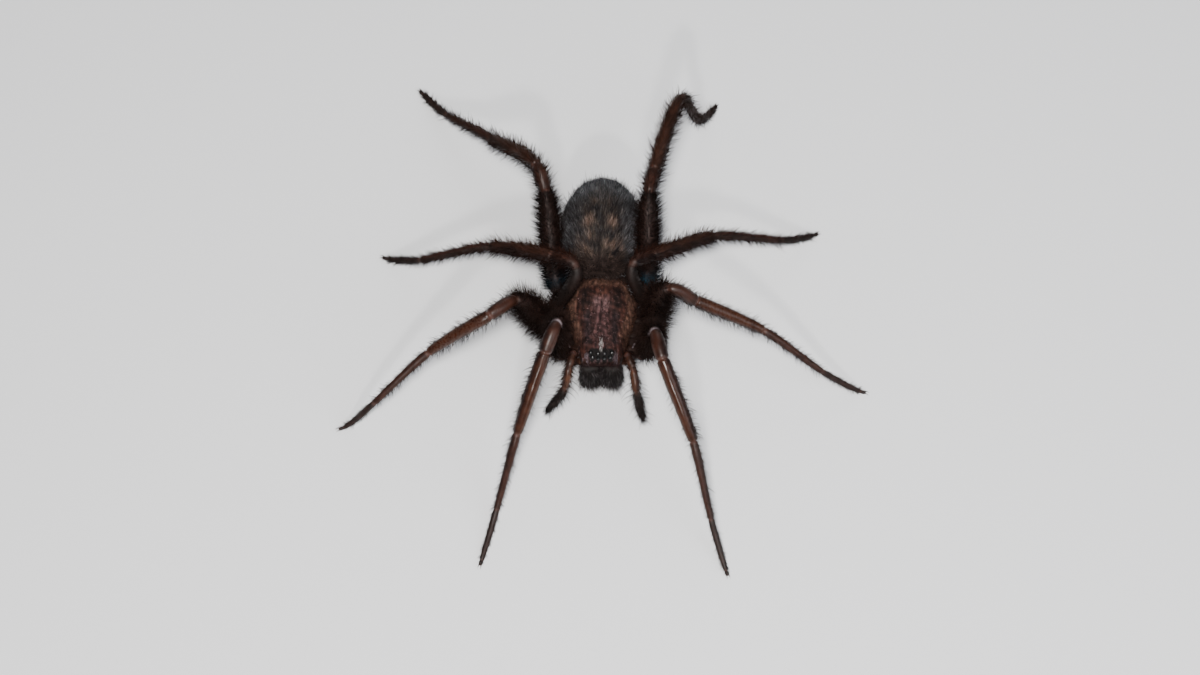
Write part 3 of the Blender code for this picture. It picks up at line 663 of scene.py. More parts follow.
def hair_arrays(hairs, shape):
    """Points, quads, triangles, tints and bake patches of a set of tapered, bent hairs."""
    root, normal, way, place, colour = (
        hairs[key][:, None] for key in ("root", "normal", "way", "place", "colour")
    )
    start, end, length, radius, bend = (
        hairs[key][:, None] for key in ("start", "end", "length", "radius", "bend")
    )
    across = np.cross(normal, way)
    sweep = np.where(np.abs(end - start) < 1e-3, 1e-3, end - start)
    share, taper = np.array((*shape, (1.0, 0.0))).T
    angle = start + sweep * share
    ahead = (np.sin(angle) - np.sin(start)) / sweep * length
    rise = (np.cos(start) - np.cos(angle)) / sweep * length
    aside = bend * length * share**2
    middle = root + way * ahead[..., None] + normal * rise[..., None] + across * aside[..., None]
    middle[:, 0] -= normal[:, 0] * HAIR_SUNK
    up = normal * np.cos(angle)[..., None] - way * np.sin(angle)[..., None]
    upward, sideways = (part[:, None] for part in ring(HAIR_SIDES))
    out = across[:, :, None] * sideways + up[:, :, None] * upward
    points = middle[:, :, None] + out * (radius * taper)[..., None, None]
    points[..., 2] = np.maximum(points[..., 2], HAIR_CLEAR)
    count, levels = points.shape[:2]
    tints = np.insert(colour[:, :, None] * (0.80 + 0.40 * share)[:, None, None], 3, 1.0, axis=-1)
    corner = np.arange(HAIR_SIDES)
    spread = np.stack(np.broadcast_arrays(corner / HAIR_SIDES - 0.5, share[:, None] - 0.5), axis=-1)
    patches = np.clip(place[:, :, None], PATCH, 1 - PATCH) + PATCH * spread
    # Each hair ends in one point, so the other corners of its last level are cut off
    each = (levels - 1) * HAIR_SIDES + 1
    points, tints, patches = (
        np.broadcast_to(field, (count, levels, HAIR_SIDES, field.shape[-1]))
        .reshape(count, -1, field.shape[-1])[:, :each].reshape(-1, field.shape[-1])
        for field in (points, tints, patches)
    )
    onward = (corner + 1) % HAIR_SIDES
    last = each - 1 - HAIR_SIDES
    near, far = (np.arange(0, last, HAIR_SIDES)[:, None] + side for side in (corner, onward))
    quads = np.stack([near, far, far + HAIR_SIDES, near + HAIR_SIDES], axis=-1).reshape(-1, 4)
    triangles = np.stack([last + corner, last + onward, np.full(HAIR_SIDES, each - 1)], axis=-1)
    triangles = np.concatenate([triangles, [corner[::-1]]])
    steps = np.arange(count)[:, None, None] * each
    return points, (quads + steps).reshape(-1, 4), (triangles + steps).reshape(-1, 3), tints, patches


def heading_vector(heading, pitch, side):
    """The direction at a heading from straight out to one side and a pitch above level, in degrees."""
    heading, pitch = math.radians(heading), math.radians(pitch)
    flat = math.cos(pitch)
    return np.array([side * flat * math.cos(heading), flat * math.sin(heading), math.sin(pitch)])


def mirrored(points, side):
    """Points that are given on the left side, on this side."""
    return np.array(points) * (side, 1, 1)


def close_to(points, place, side, radius):
    """1 at a place that is given on the left side, falling smoothly to 0 about two radii away."""
    return hill(np.linalg.norm(points - mirrored(place, side), axis=-1), 0.0, radius)


def walk(joints, headings, pitches, lengths, side):
    """The joints, with one more after the last for each heading, pitch and length."""
    for heading, pitch, length in zip(headings, pitches, lengths):
        joints.append(joints[-1] + heading_vector(heading, pitch, side) * length)
    return joints


def leg_joints(pair, side_name):
    """Where a leg's podomeres meet, from the coxa's root to the end of the claws' base."""
    side = SIDES[side_name]
    root, start = mirrored(PAIRS[pair][:2], side)
    lengths = PAIRS[pair][3]
    headings, pitches = POSE[pair, side_name]
    trochanter = unit(unit(start - root) + heading_vector(headings[0], pitches[0], side))
    joints = [root, start - trochanter * TROCHANTER_LENGTH, start]
    walk(joints, headings, pitches, lengths, side)
    drop = math.degrees(math.asin((SOLE_MIDDLE - joints[-1][2]) / lengths[4]))
    return walk(joints, (headings[4],) * 2, (drop, 0.0), (lengths[4], CLAW_BASE_LENGTH), side)


def limb_rows(joints, profiles, bows):
    """A limb's rows: middle, direction, radius, podomere, and how far off and which the nearest joint is."""
    straight = [unit(far - near) for near, far in zip(joints, joints[1:])]
    between = [unit(before + after) for before, after in zip(straight, straight[1:])]
    ways = [straight[0], *between, straight[-1]]
    rows = {"point": [], "way": [], "radius": [], "podomere": [], "from_joint": [], "joint": []}
    for k, (near, far) in enumerate(zip(joints, joints[1:])):
        length = float(np.linalg.norm(far - near))
        count = max(8, int(length * LIMB_ROWS_PER_MM))
        even = np.arange(count if k < len(profiles) - 1 else count + 1) / count
        share = 0.5 * even + 0.5 * (0.5 - 0.5 * np.cos(math.pi * even))
        reach = min(TURN_SHARE * length, TURN_MOST)
        a, b, c, d = near, near + ways[k] * reach, far - ways[k + 1] * reach, far
        s = share[:, None]
        point = a * (1 - s) ** 3 + b * 3 * s * (1 - s) ** 2 + c * 3 * s**2 * (1 - s) + d * s**3
        ends = np.stack([share if k else np.ones_like(share), 1 - share])
        parts = (
            point + np.array([0, 0, 1.0]) * (bows[k] * np.sin(math.pi * s)),
            unit((b - a) * (1 - s) ** 2 + (c - b) * 2 * s * (1 - s) + (d - c) * s**2),
            smooth_curve(*np.array(profiles[k]).T, share),
            np.full(len(share), k),
            ends.min(axis=0) * length,
            k + ends.argmin(axis=0),
        )
        for name, part in zip(rows, parts):
            rows[name].append(part)
    return {name: np.concatenate(parts) for name, parts in rows.items()}


def limb_skin(rows, looks, membranes, seed, pale_joint=None):
    """The shell of a limb round its middle line, with a groove and two collars at each joint."""
    joint = rows["from_joint"]
    radius = rows["radius"] * (1 - JOINT_DEPTH * hill(joint, 0.0, JOINT_WIDTH))
    radius = radius * (1 + COLLAR_RISE * hill(joint, COLLAR_PLACE, COLLAR_WIDTH))
    out = spokes(rows["way"], LIMB_COLUMNS)
    points = rows["point"][:, None] + out * radius[:, None, None]
    uneven = 1 + 0.018 * mottle(points, 0.8, seed)
    points = rows["point"][:, None] + out * (radius[:, None] * uneven)[..., None]
    points[..., 2] = np.maximum(points[..., 2], 0.0)
    backs, flanks, gloss = (np.array([look[n] for look in looks])[rows["podomere"]] for n in (1, 2, 3))
    back = step_up(ring(LIMB_COLUMNS)[0], -0.1, 0.9)[None, :]
    share = np.clip(back + 0.25 * mottle(points, 0.6, seed + 1), 0, 1)
    colour = flanks[:, None] + (backs - flanks)[:, None] * share[..., None]
    colour = colour * (1 + 0.16 * mottle(points, 0.3, seed + 2))[..., None]
    dark = hill(joint, 0.40, 0.20)[:, None, None] * 0.25
    width = np.array(membranes)[rows["joint"]]
    membrane = np.where((rows["joint"] <= HIP)[:, None, None], ROOT_MEMBRANE, MEMBRANE)
    membrane = np.where((rows["joint"] == pale_joint)[:, None, None], LILAC, membrane)
    colour = mix(colour * (1 - dark), membrane, hill(joint, 0.0, width)[:, None] * (0.35 + 0.45 * back))
    return Skin(points, np.clip(colour, DARKEST, 1.0), gloss[:, None])


def claw_skins(joints, side):
    """The two curved claws at the end of a foot, with a row of small teeth under each."""
    ahead = unit(joints[-1] - joints[-2])
    across = np.array([-ahead[1], ahead[0], 0.0]) * side
    share = np.linspace(0, 1, 14)[:, None]
    skins = []
    for turn in (-1, 1):
        rise = 0.04 + 0.06 * np.sin(math.pi * share) - 0.13 * share**2
        points = joints[-1] + ahead * (0.36 * share - 0.10) + across * turn * (0.07 + 0.05 * share)
        points = points + np.array([0, 0, 1.0]) * rise
        skins.append(tube_skin(points, 0.045 * (1 - 0.85 * share[:, 0]), 10, CLAW_BROWN))
        for root in points[3:10:2]:
            line = root + np.outer(np.linspace(0, 1, 4), ahead * 0.035 + np.array([0, 0, -0.05]))
            skins.append(tube_skin(line, CLAW_TOOTH, 5, CLAW_BROWN))
    return skins


def row_at(rows, podomere, share):
    """The row of a limb at a share along a podomere."""
    inside = np.flatnonzero(rows["podomere"] == podomere)
    return inside[int(share * (len(inside) - 1))]


def make_leg(pair, side_name):
    """One leg's shell, claws and hair."""
    side = SIDES[side_name]
    joints = leg_joints(pair, side_name)
    thickness = PAIRS[pair][2]
    profiles = []
    for name, shape in PODOMERES.items():
        share, radius = np.array(shape).T
        swell = FEMUR_SWELL[pair] if name == "femur" else 0.0
        radius = radius * thickness * LEG_LOOKS[name][0] * (1 + swell * np.sin(math.pi * share))
        profiles.append(np.stack([share, radius], axis=1))
    rows = limb_rows(joints, profiles, [BOW.get(name, 0.0) for name in PODOMERES])
    seed = SEED + pair * 10 + (side > 0)
    skin = limb_skin(rows, list(LEG_LOOKS.values()), LEG_MEMBRANES, seed, KNEE if pair == 1 else None)
    near_shield = beside_shield(skin.points) * (pair < 4)
    gleam = TEAL_STRENGTH[side_name] * close_to(skin.points, TEAL_PLACE, side, TEAL_RADIUS) * (pair == 4)
    # Painted shade: beside the head shield the shell of the first three pairs is up to half darker, and so is
    # the hair tinted from it
    skin.colour = mix(skin.colour * (1 - 0.5 * near_shield)[..., None], TEAL, 0.7 * gleam)
    bare_back, all_round, femur_length, length_past, glossy = PAIR_HAIR[pair]
    skin.gloss = skin.gloss * glossy
    name = f"leg_{pair}_{side_name}"
    nodes = [f"{name}_{node}" for node in ("coxa", "femur", "tibia", "foot")]
    skin_piece(f"{name}_skin", [skin], "leg shell", nodes)
    skin_piece(f"{name}_claws", claw_skins(joints, side), "horn")
    past_femur = rows["podomere"] > FEMUR
    on_back = np.isin(rows["podomere"], (PATELLA, TIBIA))[:, None] & (ring(LIMB_COLUMNS)[0] > 0.30)
    cover = np.where(on_back, bare_back, np.where(past_femur, all_round, 1.0)[:, None])
    bare = np.where(rows["joint"] <= HIP, 0.24, 0.12)
    cover = cover * (1 - 0.9 * hill(rows["from_joint"], 0.0, bare))[:, None] * (1 - 0.10 * near_shield)
    longer = np.where(past_femur, length_past, femur_length)[:, None] * thickness
    longer = longer * (1 - 0.82 * near_shield) * (1 - 0.45 * step_up(skin.points[..., 2], 8.0, 9.2))
    uneven = 1 + 0.40 * mottle(skin.points, 0.45, seed + 5)
    tint = skin.colour * 0.62 * uneven[..., None] + np.array(LEG_HAIR_TINT)
    if pair == 1:
        # Thin the hair over the painted highlight rim on the first coxa
        cover = cover * (1 - 0.9 * close_to(skin.points, HIGHLIGHT_GAP, side, 0.7))
    if pair == 4:
        tint = tint * np.where(past_femur, 1.0, 0.6)[:, None, None]
        cover = cover * (1 + 2.0 * close_to(skin.points, ARMPIT, side, 0.8))
    tint = mix(tint, TEAL, gleam)
    rng = np.random.default_rng(seed)
    layers = []
    for table, swirl, radius in LEG_COATS:
        density, length, *lift = np.array(table)[rows["podomere"]].T[..., None] * np.ones(LIMB_COLUMNS)
        layers += coats(skin, rng, (FUZZ_SHAPE, density * cover, length * longer, lift, tint, radius, swirl))
    spines = [spine[1:] for spine in SPINES if spine[0] == pair]
    places = [row_at(rows, PODOMERE_NAMES.index(podomere), share) for podomere, share, _, _ in spines]
    columns = [turn / 360 * LIMB_COLUMNS for _, _, turn, _ in spines]
    spines = hairs_at(skin, places, columns, [spine[3] for spine in spines], (52, 34), 0.032)
    coat_piece(f"{name}_coat", [*layers, (spines, SPINE_SHAPE)], "leg hair")


def beside_shield(points):
    """1 close to the side of the head shield, falling to 0 about a millimetre away from it."""
    stations = np.array(CARAPACE)[::-1]
    x, y, z = np.moveaxis(points, -1, 0)
    apart = np.abs(x) - np.interp(y, stations[:, 0], stations[:, 1], 0.0, 0.0)
    along = step_up(y, stations[0, 0] - 0.6, stations[0, 0]) * below(y, stations[-1, 0] + 0.8, 0.6)
    return below(apart, 1.3, 0.9) * along * below(z, 7.6, 1.0)


def make_palp(side_name):
    """One palp's shell and hair, with long bristles towards its end."""
    side = SIDES[side_name]
    joints = walk([mirrored(PALP_ROOT, side)], *PALP_POSE[side_name], PALP_LENGTHS, side)
    profiles = [
        [(share, radius * look[0]) for share, radius in shape] for shape, look in zip(PALP_SHAPE, PALP_LOOKS)
    ]
    rows = limb_rows(joints, profiles, [0.0] * len(profiles))
    seed = SEED + 60 + (side > 0)
    skin = limb_skin(rows, PALP_LOOKS, PALP_MEMBRANES, seed)
    name = f"palp_{side_name}"
    skin_piece(f"{name}_skin", [skin], "leg shell", [f"{name}_femur", f"{name}_tarsus"])
    rng = np.random.default_rng(seed)
    tint = skin.colour * 0.5 + np.array(PALP_HAIR_TINT)
    hair = np.array([look[4:] for look in PALP_LOOKS])[rows["podomere"]].T[..., None] * np.ones(LIMB_COLUMNS)
    layers = coats(
        skin, rng,
        (FUZZ_SHAPE, hair[0], hair[1], (42, 16), tint, 0.0140),
        (HAIR_SHAPE, hair[2], hair[3], (68, 46), BLACK_BROWN, 0.0115, 0.2),
    )
    inner = np.argmin(skin.normal[..., 0] * side, axis=1)
    places = [row_at(rows, podomere, share) for podomere, share, _ in PALP_BRISTLES]
    lengths = [bristle[2] for bristle in PALP_BRISTLES]
    bristles = hairs_at(skin, places, inner[places], lengths, (80, 34), 0.0240)
    coat_piece(f"{name}_coat", [*layers, (bristles, SPINE_SHAPE)], "leg hair")


def groove_depth(x, y):
    """How far the head shield dips, for the pit, the grooves beside the head and the fan behind it."""
    depth = np.zeros_like(x)
    for near, far, deepest in CARAPACE_GROOVES:
        near, along = np.array(near), np.array(far) - np.array(near)
        apart_x, apart_y = np.abs(x) - near[0], y - near[1]
        share = np.clip((apart_x * along[0] + apart_y * along[1]) / np.sum(along**2), 0.0, 1.0)
        apart = np.hypot(apart_x - along[0] * share, apart_y - along[1] * share)
        depth = np.maximum(depth, deepest * hill(apart, 0.0, GROOVE_WIDTH))
    return depth + FAN_DEPTH * fan(x, y)


def fan(x, y):
    """The faint lines that run out from the pit, 1 along the middle of each."""
    turn = np.degrees(np.arctan2(np.abs(x), y - PIT_Y))
    lines = sum(hill(turn, place, 5.0) for place in FAN_GROOVES)
    return lines * step_up(np.hypot(x, y - PIT_Y), 0.35, 0.8)


def eye_places():
    """The middle and radius of each eye's solid, in the spider's frame."""
    places = {}
    for row, radius in EYE_RADII.items():
        for side_name in SIDES:
            low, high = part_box(f"eye_{row}_{side_name}")
            middle = (np.array(low) + np.array(high)) / 2
            places[f"{row}_{side_name}"] = ((middle - OFFSET) / MM, radius)
    return places


def carapace_skin():
    """The domed top of the head shield, raised round each eye, and its flat underside."""
    y, half, margin, crown, under = smooth_stations(CARAPACE, CARAPACE_ROWS)[..., None]
    angle = math.pi * np.arange(CARAPACE_TOP) / (CARAPACE_TOP - 1)
    x = half * np.cos(angle)
    height = margin + (crown - margin) * np.sin(angle) ** CARAPACE_FULLNESS
    height = height - groove_depth(x, y + 0 * x) * np.sin(angle)
    for middle, radius in EYES.values():
        apart = np.hypot(x - middle[0], y - middle[1])
        height = height + 0.045 * hill(apart, 0.0, radius * 1.5) * (np.sin(angle) > 0.4)
    share = np.linspace(-0.97, 0.97, CARAPACE_UNDER)
    base = np.where(np.abs(share) > 0.9, margin - CARAPACE_RIM, under)
    points = np.concatenate([grid(x, y, height), grid(half * share, y, base)], axis=1)
    _, zones = shield_zones(points[..., 0], points[..., 1])
    return Skin(points, carapace_colour(points), 0.5 * (1 - zones["eyes"]))


def shield_zones(x, y):
    """How far in from the shield's edge each point is, and the strength of each of its markings."""
    stations = np.array(CARAPACE)[::-1]
    out = np.abs(x)
    from_edge = np.minimum(np.interp(y, stations[:, 0], stations[:, 1]) - out, (CARAPACE[0][0] - y) * 0.62)
    pale = 0.26 * step_up(y, -2.4, -1.4) + 0.74 * hill(y, 1.45, 0.55)
    return from_edge, {
        "band": below(from_edge, 0.72, 0.30) * step_up(y, -2.2, -1.0),
        "arc": hill(out, 1.26, 0.50) * step_up(y, 0.6, 1.3) * below(y, 3.05, 0.35),
        "side": hill(out, 1.02, 0.34) * step_up(y, -2.6, -2.0) * below(y, 1.1, 0.8),
        "pale": hill(out, 0.30, 0.30) * pale * below(y, 2.3, 0.5),
        "wedge": hill(x, 0.0, 0.55) * hill(y, 2.20, 0.42),
        "line": hill(x, 0.0, 0.05) * step_up(y, -2.2, -1.8) * below(y, PIT_Y + 0.5, 0.3),
        "eyes": below(out, 1.02, 0.16) * below(y, -2.60, 0.16) * step_up(y + 3.42, 0.0, 0.10),
    }


def carapace_colour(points):
    """A tan band round the edge, two dark arcs inside it, a purple-red head and a black field of eyes."""
    x, y, z = np.moveaxis(points, -1, 0)
    rough = mottle(points, 0.35, SEED + 90)
    from_edge, zones = shield_zones(x + 0.06 * rough, y)
    specks = mottle(points * (1, 0.5, 0.5), 0.13, SEED + 91)
    inside = 1 - zones["band"]
    colour = paint(DARK_RED, (
        (PURPLE_RED, hill(x, 0.0, 0.75) * below(y, 2.6, 0.8)),
        (WEDGE_RED, zones["wedge"]),
        (TAN_BROWN, zones["band"]),
        (BLACK_BROWN, zones["arc"] * inside * 0.85),
        (PURPLE_GREY, zones["side"] * inside * 0.9),
        (PALE_PURPLE, zones["pale"] * 0.30),
        (BLACK_BROWN, hill(from_edge, 0.0, 0.07) * 0.6),
        (BLACK_BROWN, np.clip(zones["line"] + 0.05 * fan(x, y), 0, 1) * 0.85),
    ))
    colour = colour * (np.exp(0.20 * rough + 0.75 * specks) * (1 - 0.14 * below(y, -0.6, 1.2)))[..., None]
    field = zones["eyes"]
    for middle, radius in EYES.values():
        apart = np.hypot(x - middle[0], y - middle[1])
        field = np.maximum(field, below(apart, radius * 1.9, 0.10))
    brow = step_up(-y, 3.30, 3.40)
    pink = brow * hill(x, 0.0, 0.72) * hill(z, 4.36, 0.12)
    layers = ((np.array(DARK_RED) * 0.7, brow), (CLYPEUS_PINK, pink), (FIELD_BLACK, field * (z > 3.7)))
    return np.clip(paint(colour, layers), 0.002, 1.0)


def carapace_hair(skin):
    """Close, low hair that follows the shield's markings, and a few upright bristles on the head."""
    rng = np.random.default_rng(SEED + 3)
    x, y, z = np.moveaxis(skin.points, -1, 0)
    rise = skin.normal[..., 2]
    out = np.abs(x)
    from_edge, zones = shield_zones(x, y)
    top = (rise > 0.05) * 1.0
    band, inside, seen = top * zones["band"], top * (1 - zones["band"]), 1 - zones["eyes"]
    forward = grid(-0.45 * x, -1.2, 0.0)
    outward = grid(0.5 * x, 1.0, 0.0)
    streaked = skin.points * (1, 0.45, 0.45)
    tufts = 0.10 + 2.4 * np.clip(mottle(streaked, 0.15, SEED + 92), 0, 1)
    gaps = 0.20 + 2.2 * np.clip(mottle(streaked, 0.15, SEED + 93), 0, 1)
    head = hill(x, 0.0, 0.9) * inside * seen * below(y, 2.0, 0.6)
    brow = step_up(-y, 3.28, 3.42) * (1.0 - 0.9 * (rise < -0.3)) * (1 - 0.8 * hill(x, 0.0, 0.72) * (z > 4.2))
    rim = hill(from_edge, 0.0, 0.12) * step_up(y, -2.6, -2.0)
    crest = hill(x, 0.0, 0.09) * hill(y, -2.16, 0.36) * top
    cheeks = hill(out, 1.14, 0.16) * hill(y, -3.02, 0.26) * top
    tan, pale = np.array(TAN_BROWN), np.array(PALE_PURPLE)
    layers = (
        (band * 110 * tufts, 0.34, (28, 6), tan * 1.25, 0.0130, 0.4, forward),
        (band * 40 * gaps, 0.34, (30, 8), DARK_RED, 0.0130, 0.4, forward),
        (top * zones["pale"] * (1 - zones["line"]) * 110 * tufts, 0.24, (24, 6), pale, 0.0115, 0.5, forward),
        (head * 20 * tufts, 0.24, (26, 8), pale * (0.58, 0.44, 0.46), 0.0115, 0.5, forward),
        (inside * seen * 70 * gaps, 0.26, (26, 8), BLACK_BROWN, 0.0125, 0.5, forward),
        (top * seen * (out < 2.2) * 7, 0.18, (26, 8), pale * 1.1, 0.0115, 0.7, forward),
        (inside * step_up(-y, -1.2, 0.5) * seen * 3.4, 0.50, (66, 44), BLACK_BROWN, 0.0125, 0.3, forward),
        (rim * 130, 0.36, (50, 26), tan * 0.6, 0.0125, 0.5, outward),
        (crest * 560, 0.30, (30, 10), PALE_HAIR, 0.0120, 0.12, forward),
        (cheeks * 260, 0.34, (34, 16), np.array(PALE_HAIR) * (0.30, 0.25, 0.29), 0.0115, 0.15, forward),
        (brow * 130, 0.50, (46, 10), np.array(PURPLE_RED) * 0.6, 0.0120, 0.3, forward),
    )
    return [(grow(skin, rng, *layer, lie=lie), FUZZ_SHAPE) for *layer, lie in layers]


def make_eye(name, middle, radius, shield):
    """A bright lens that bulges out of the head shield, looking along the shield's own slope."""
    apart = np.linalg.norm(shield.points - middle, axis=-1)
    row, column = np.unravel_index(np.argmin(apart), apart.shape)
    look = shield.normal[row, column]
    centre = shield.points[row, column] + look * radius * 0.18
    side = unit(np.cross(look, np.array([0.0, 0.0, 1.0])))
    up = np.cross(side, look)
    rise, wide = ring(28)
    out = np.outer(rise, side) + np.outer(wide, up)
    dips = np.linspace(*np.radians((6, 125)), 16)
    rings = [centre + radius * (look * math.cos(dip) + math.sin(dip) * out) for dip in dips]
    lens = Skin(np.array(rings), EYE_BLACK)
    skin_piece(f"eye_{name}_lens", [lens], "eye", [f"eye_{name}"])


def turned_about_waist(points):
    """The abdomen's slight turn to the spider's left."""
    pivot = np.array(PEDICEL_POINTS[-1])
    x, y, z = np.moveaxis(points - pivot, -1, 0)
    cos, sin = math.cos(ABDOMEN_YAW), math.sin(ABDOMEN_YAW)
    return pivot + grid(x * cos - y * sin, x * sin + y * cos, z)


def spot(out, length, place, at, wide, long):
    """1 in the middle of an oval spot, falling smoothly to 0 about two widths away."""
    return np.exp(-(((out - place) / wide) ** 2) - ((length - at) / long) ** 2)


def abdomen_skin():
    """The abdomen, with a dent at each muscle mark and fine folds behind the waist."""
    y, height, half, above, under = smooth_stations(ABDOMEN, ABDOMEN_ROWS)[..., None]
    tilt = (ABDOMEN_END_TILT * np.linspace(0, 1, ABDOMEN_ROWS) ** 3)[:, None]
    rise, wide = ring(ABDOMEN_COLUMNS)
    back = rise > 0
    rise = rise * np.where(back, above, under) * ABDOMEN_SKIN
    x = half * ABDOMEN_SKIN * wide
    points = grid(ABDOMEN_SHIFT + x, y + rise * np.sin(tilt), height + rise * np.cos(tilt))
    length = y + 0 * x
    dent = sum(0.05 * spot(np.abs(x), length, *mark) * back for mark in MUSCLE_MARKS)
    folds = 0.022 * mottle(grid(x * 2.2, length * 0.7, points[..., 2]), 0.5, SEED + 40)
    dent = dent + folds * hill(length, 3.9, 0.9) + 0.012 * mottle(points, 0.6, SEED + 41)
    points = points - unit(points - grid(ABDOMEN_SHIFT, length, height)) * dent[..., None]
    return Skin(turned_about_waist(points), abdomen_colour(x, length, points, back))


def abdomen_colour(x, length, points, back):
    """Charcoal with painted grey sheen on the flanks, and painted shade on the right flank, browner in front,
    with a pair of tan spots and faint angled marks.
    """
    rough = mottle(points, 0.55, SEED + 50)
    fine = mottle(grid(points[..., 0] * 2.4, length * 0.8, points[..., 2]), 0.30, SEED + 51)
    out = np.abs(x)
    # Painted sheen: the flanks turn bluish grey. Painted shade: the right flank (x < 0) gets only a quarter
    # of that grey
    flank_sheen = step_up(out, 1.5, 2.5) * below(length, 9.4, 2.0) * np.where(x < 0, 0.25, 1.00)
    middle = hill(out, 0.60, 0.85) * step_up(length, 4.0, 4.6) * below(length, 10.0, 3.0) * back
    front = hill(out, 1.05, 0.60) * hill(length, 5.1, 0.75) * back
    layers = [
        (FLANK_SHEEN_GREY, flank_sheen),
        (REAR_GREY, step_up(length, 8.2, 9.8) * 0.85),
        (OLIVE_BROWN, middle * (0.50 + 0.5 * fine + 0.3 * rough)),
        (np.array(SPOT_BROWN) * 0.75, front * (0.50 + 0.7 * fine)),
        (WAIST_BROWN, below(length, 4.9, 0.8) * 0.8),
        (BLACK_BROWN, hill(out, 0.0, 0.22) * back * below(length, 6.4, 1.2) * 0.6),
    ]
    for place, at, wide, long in MUSCLE_MARKS:
        strength = (1.0 if at < 7.5 else 0.30) * back
        layers.append((SPOT_BROWN, spot(out, length, place, at, wide, long) * strength * (1 + 0.2 * fine)))
        layers.append((BLACK_BROWN, spot(out, length, place, at + 2.1 * long, wide, long) * strength * 0.55))
    for at, ends, reach in CHEVRONS:
        mark = hill(length, at + (ends - at) * out / reach, 0.13) * below(out, reach, 0.25) * back
        layers.append((OLIVE_BROWN, mark * 0.5))
    lines = hill(out, 1.0, 0.16) * step_up(length, 5.6, 6.2) * below(length, 9.4, 1.0)
    colour = paint(CHARCOAL, layers) * (1 + 0.22 * rough + 0.26 * fine)[..., None]
    colour = paint(colour, (
        (OLIVE_BROWN, ~back * lines * 0.6),
        (LUNG_TAN, ~back * hill(out, 0.95, 0.42) * hill(length, 4.9, 0.42) * 0.8),
        (BLACK_BROWN, ~back * hill(length, 5.45, 0.07) * below(out, 1.7, 0.3) * 0.8),
    ))
    return np.clip(colour, DARKEST, 1.0)


def make_abdomen():
    """The abdomen's skin, and its hair in two coats."""
    skin = abdomen_skin()
    skin_piece("abdomen_skin", [skin], "abdomen skin", ["abdomen"])
    rng = np.random.default_rng(SEED + 4)
    _, y, z = np.moveaxis(skin.points, -1, 0)
    base = skin.colour * 1.25
    silver = skin.colour * 2.2 + 0.012 + 0.028 * step_up(y, 4.6, 6.0)[..., None]
    for name, part in (("back", (z > 4.0) * 1.0), ("belly", (z <= 4.0) * 0.5)):
        layers = coats(
            skin, rng,
            (FUZZ_SHAPE, part * 130, 0.44, (32, 8), base, 0.0135, 0.26),
            (FUZZ_SHAPE, part * 34, 0.54, (30, 8), silver, 0.0120, 0.24),
            (FUZZ_SHAPE, part * 34, 0.56, (44, 18), BLACK_BROWN, 0.0145, 0.26),
            (HAIR_SHAPE, part * 14, 0.72, (58, 36), base * 0.6, 0.0150),
            (FUZZ_SHAPE, part * hill(y, 4.1, 0.70) * 150, 0.66, (70, 44), base * 0.6, 0.0140, 0.5),
        )
        coat_piece(f"abdomen_coat_{name}", layers, "body hair")
    return skin


def make_spinnerets(end_ring):
    """The six spinnerets on their low mound, each of two segments, and the sieve plate in front of them."""
    middle = end_ring.mean(axis=0)
    out = unit(np.cross(end_ring[0] - middle, end_ring[ABDOMEN_COLUMNS // 4] - middle))
    out = -out if out[1] < 0 else out
    across = np.array([math.cos(ABDOMEN_YAW), math.sin(ABDOMEN_YAW), 0.0])
    up = unit(np.cross(across, out))
    colour = np.array(SPINNERET_BROWN)
    rise, share = smooth_stations(MOUND, 12)[..., None, None]
    mound = Skin(middle + (end_ring[::2] - middle) * share + out * rise, colour * 0.6)
    along = np.linspace(0, 1, 22)
    shape = smooth_curve(*np.array(SPINNERET_SHAPE).T, along) * 0.95
    tint = mix(colour, PALE_HAIR, 0.35 * hill(along, 1.0, 0.12) + 0.25 * hill(along, 0.63, 0.05))
    skins = []
    for place, height, length, radius in SPINNERETS.values():
        for turn in (-1, 1):
            root = middle + out * 0.14 + across * turn * place + up * height
            aim = unit(out + across * turn * SPINNERET_SPREAD + up * height * SPINNERET_LEAN)
            line = root + np.outer(along * length, aim)
            skins.append(tube_skin(line, shape * radius, 18, tint[:, None, :]))
    low_edge = middle - up * 0.80 * np.abs((end_ring - middle) @ up).max() + out * 0.23
    share = np.linspace(0, 1, 16)
    radii = 0.08 * np.sqrt(np.maximum(1 - (2 * share - 1) ** 4, 0.02))
    plates = [
        tube_skin(low_edge + across * turn * (0.03 + 0.34 * share[:, None]), radii, 16, SIEVE_PLATE)
        for turn in (-1, 1)
    ]
    skin_piece("spinnerets_skin", [mound, *skins, *plates], "soft skin", ["spinnerets"])
    rng = np.random.default_rng(SEED + 5)
    layers = [(grow(skin, rng, 60, 0.26, (34, 14), OLIVE_BROWN, 0.010), HAIR_SHAPE) for skin in skins]
    coat_piece("spinnerets_coat", layers, "body hair")


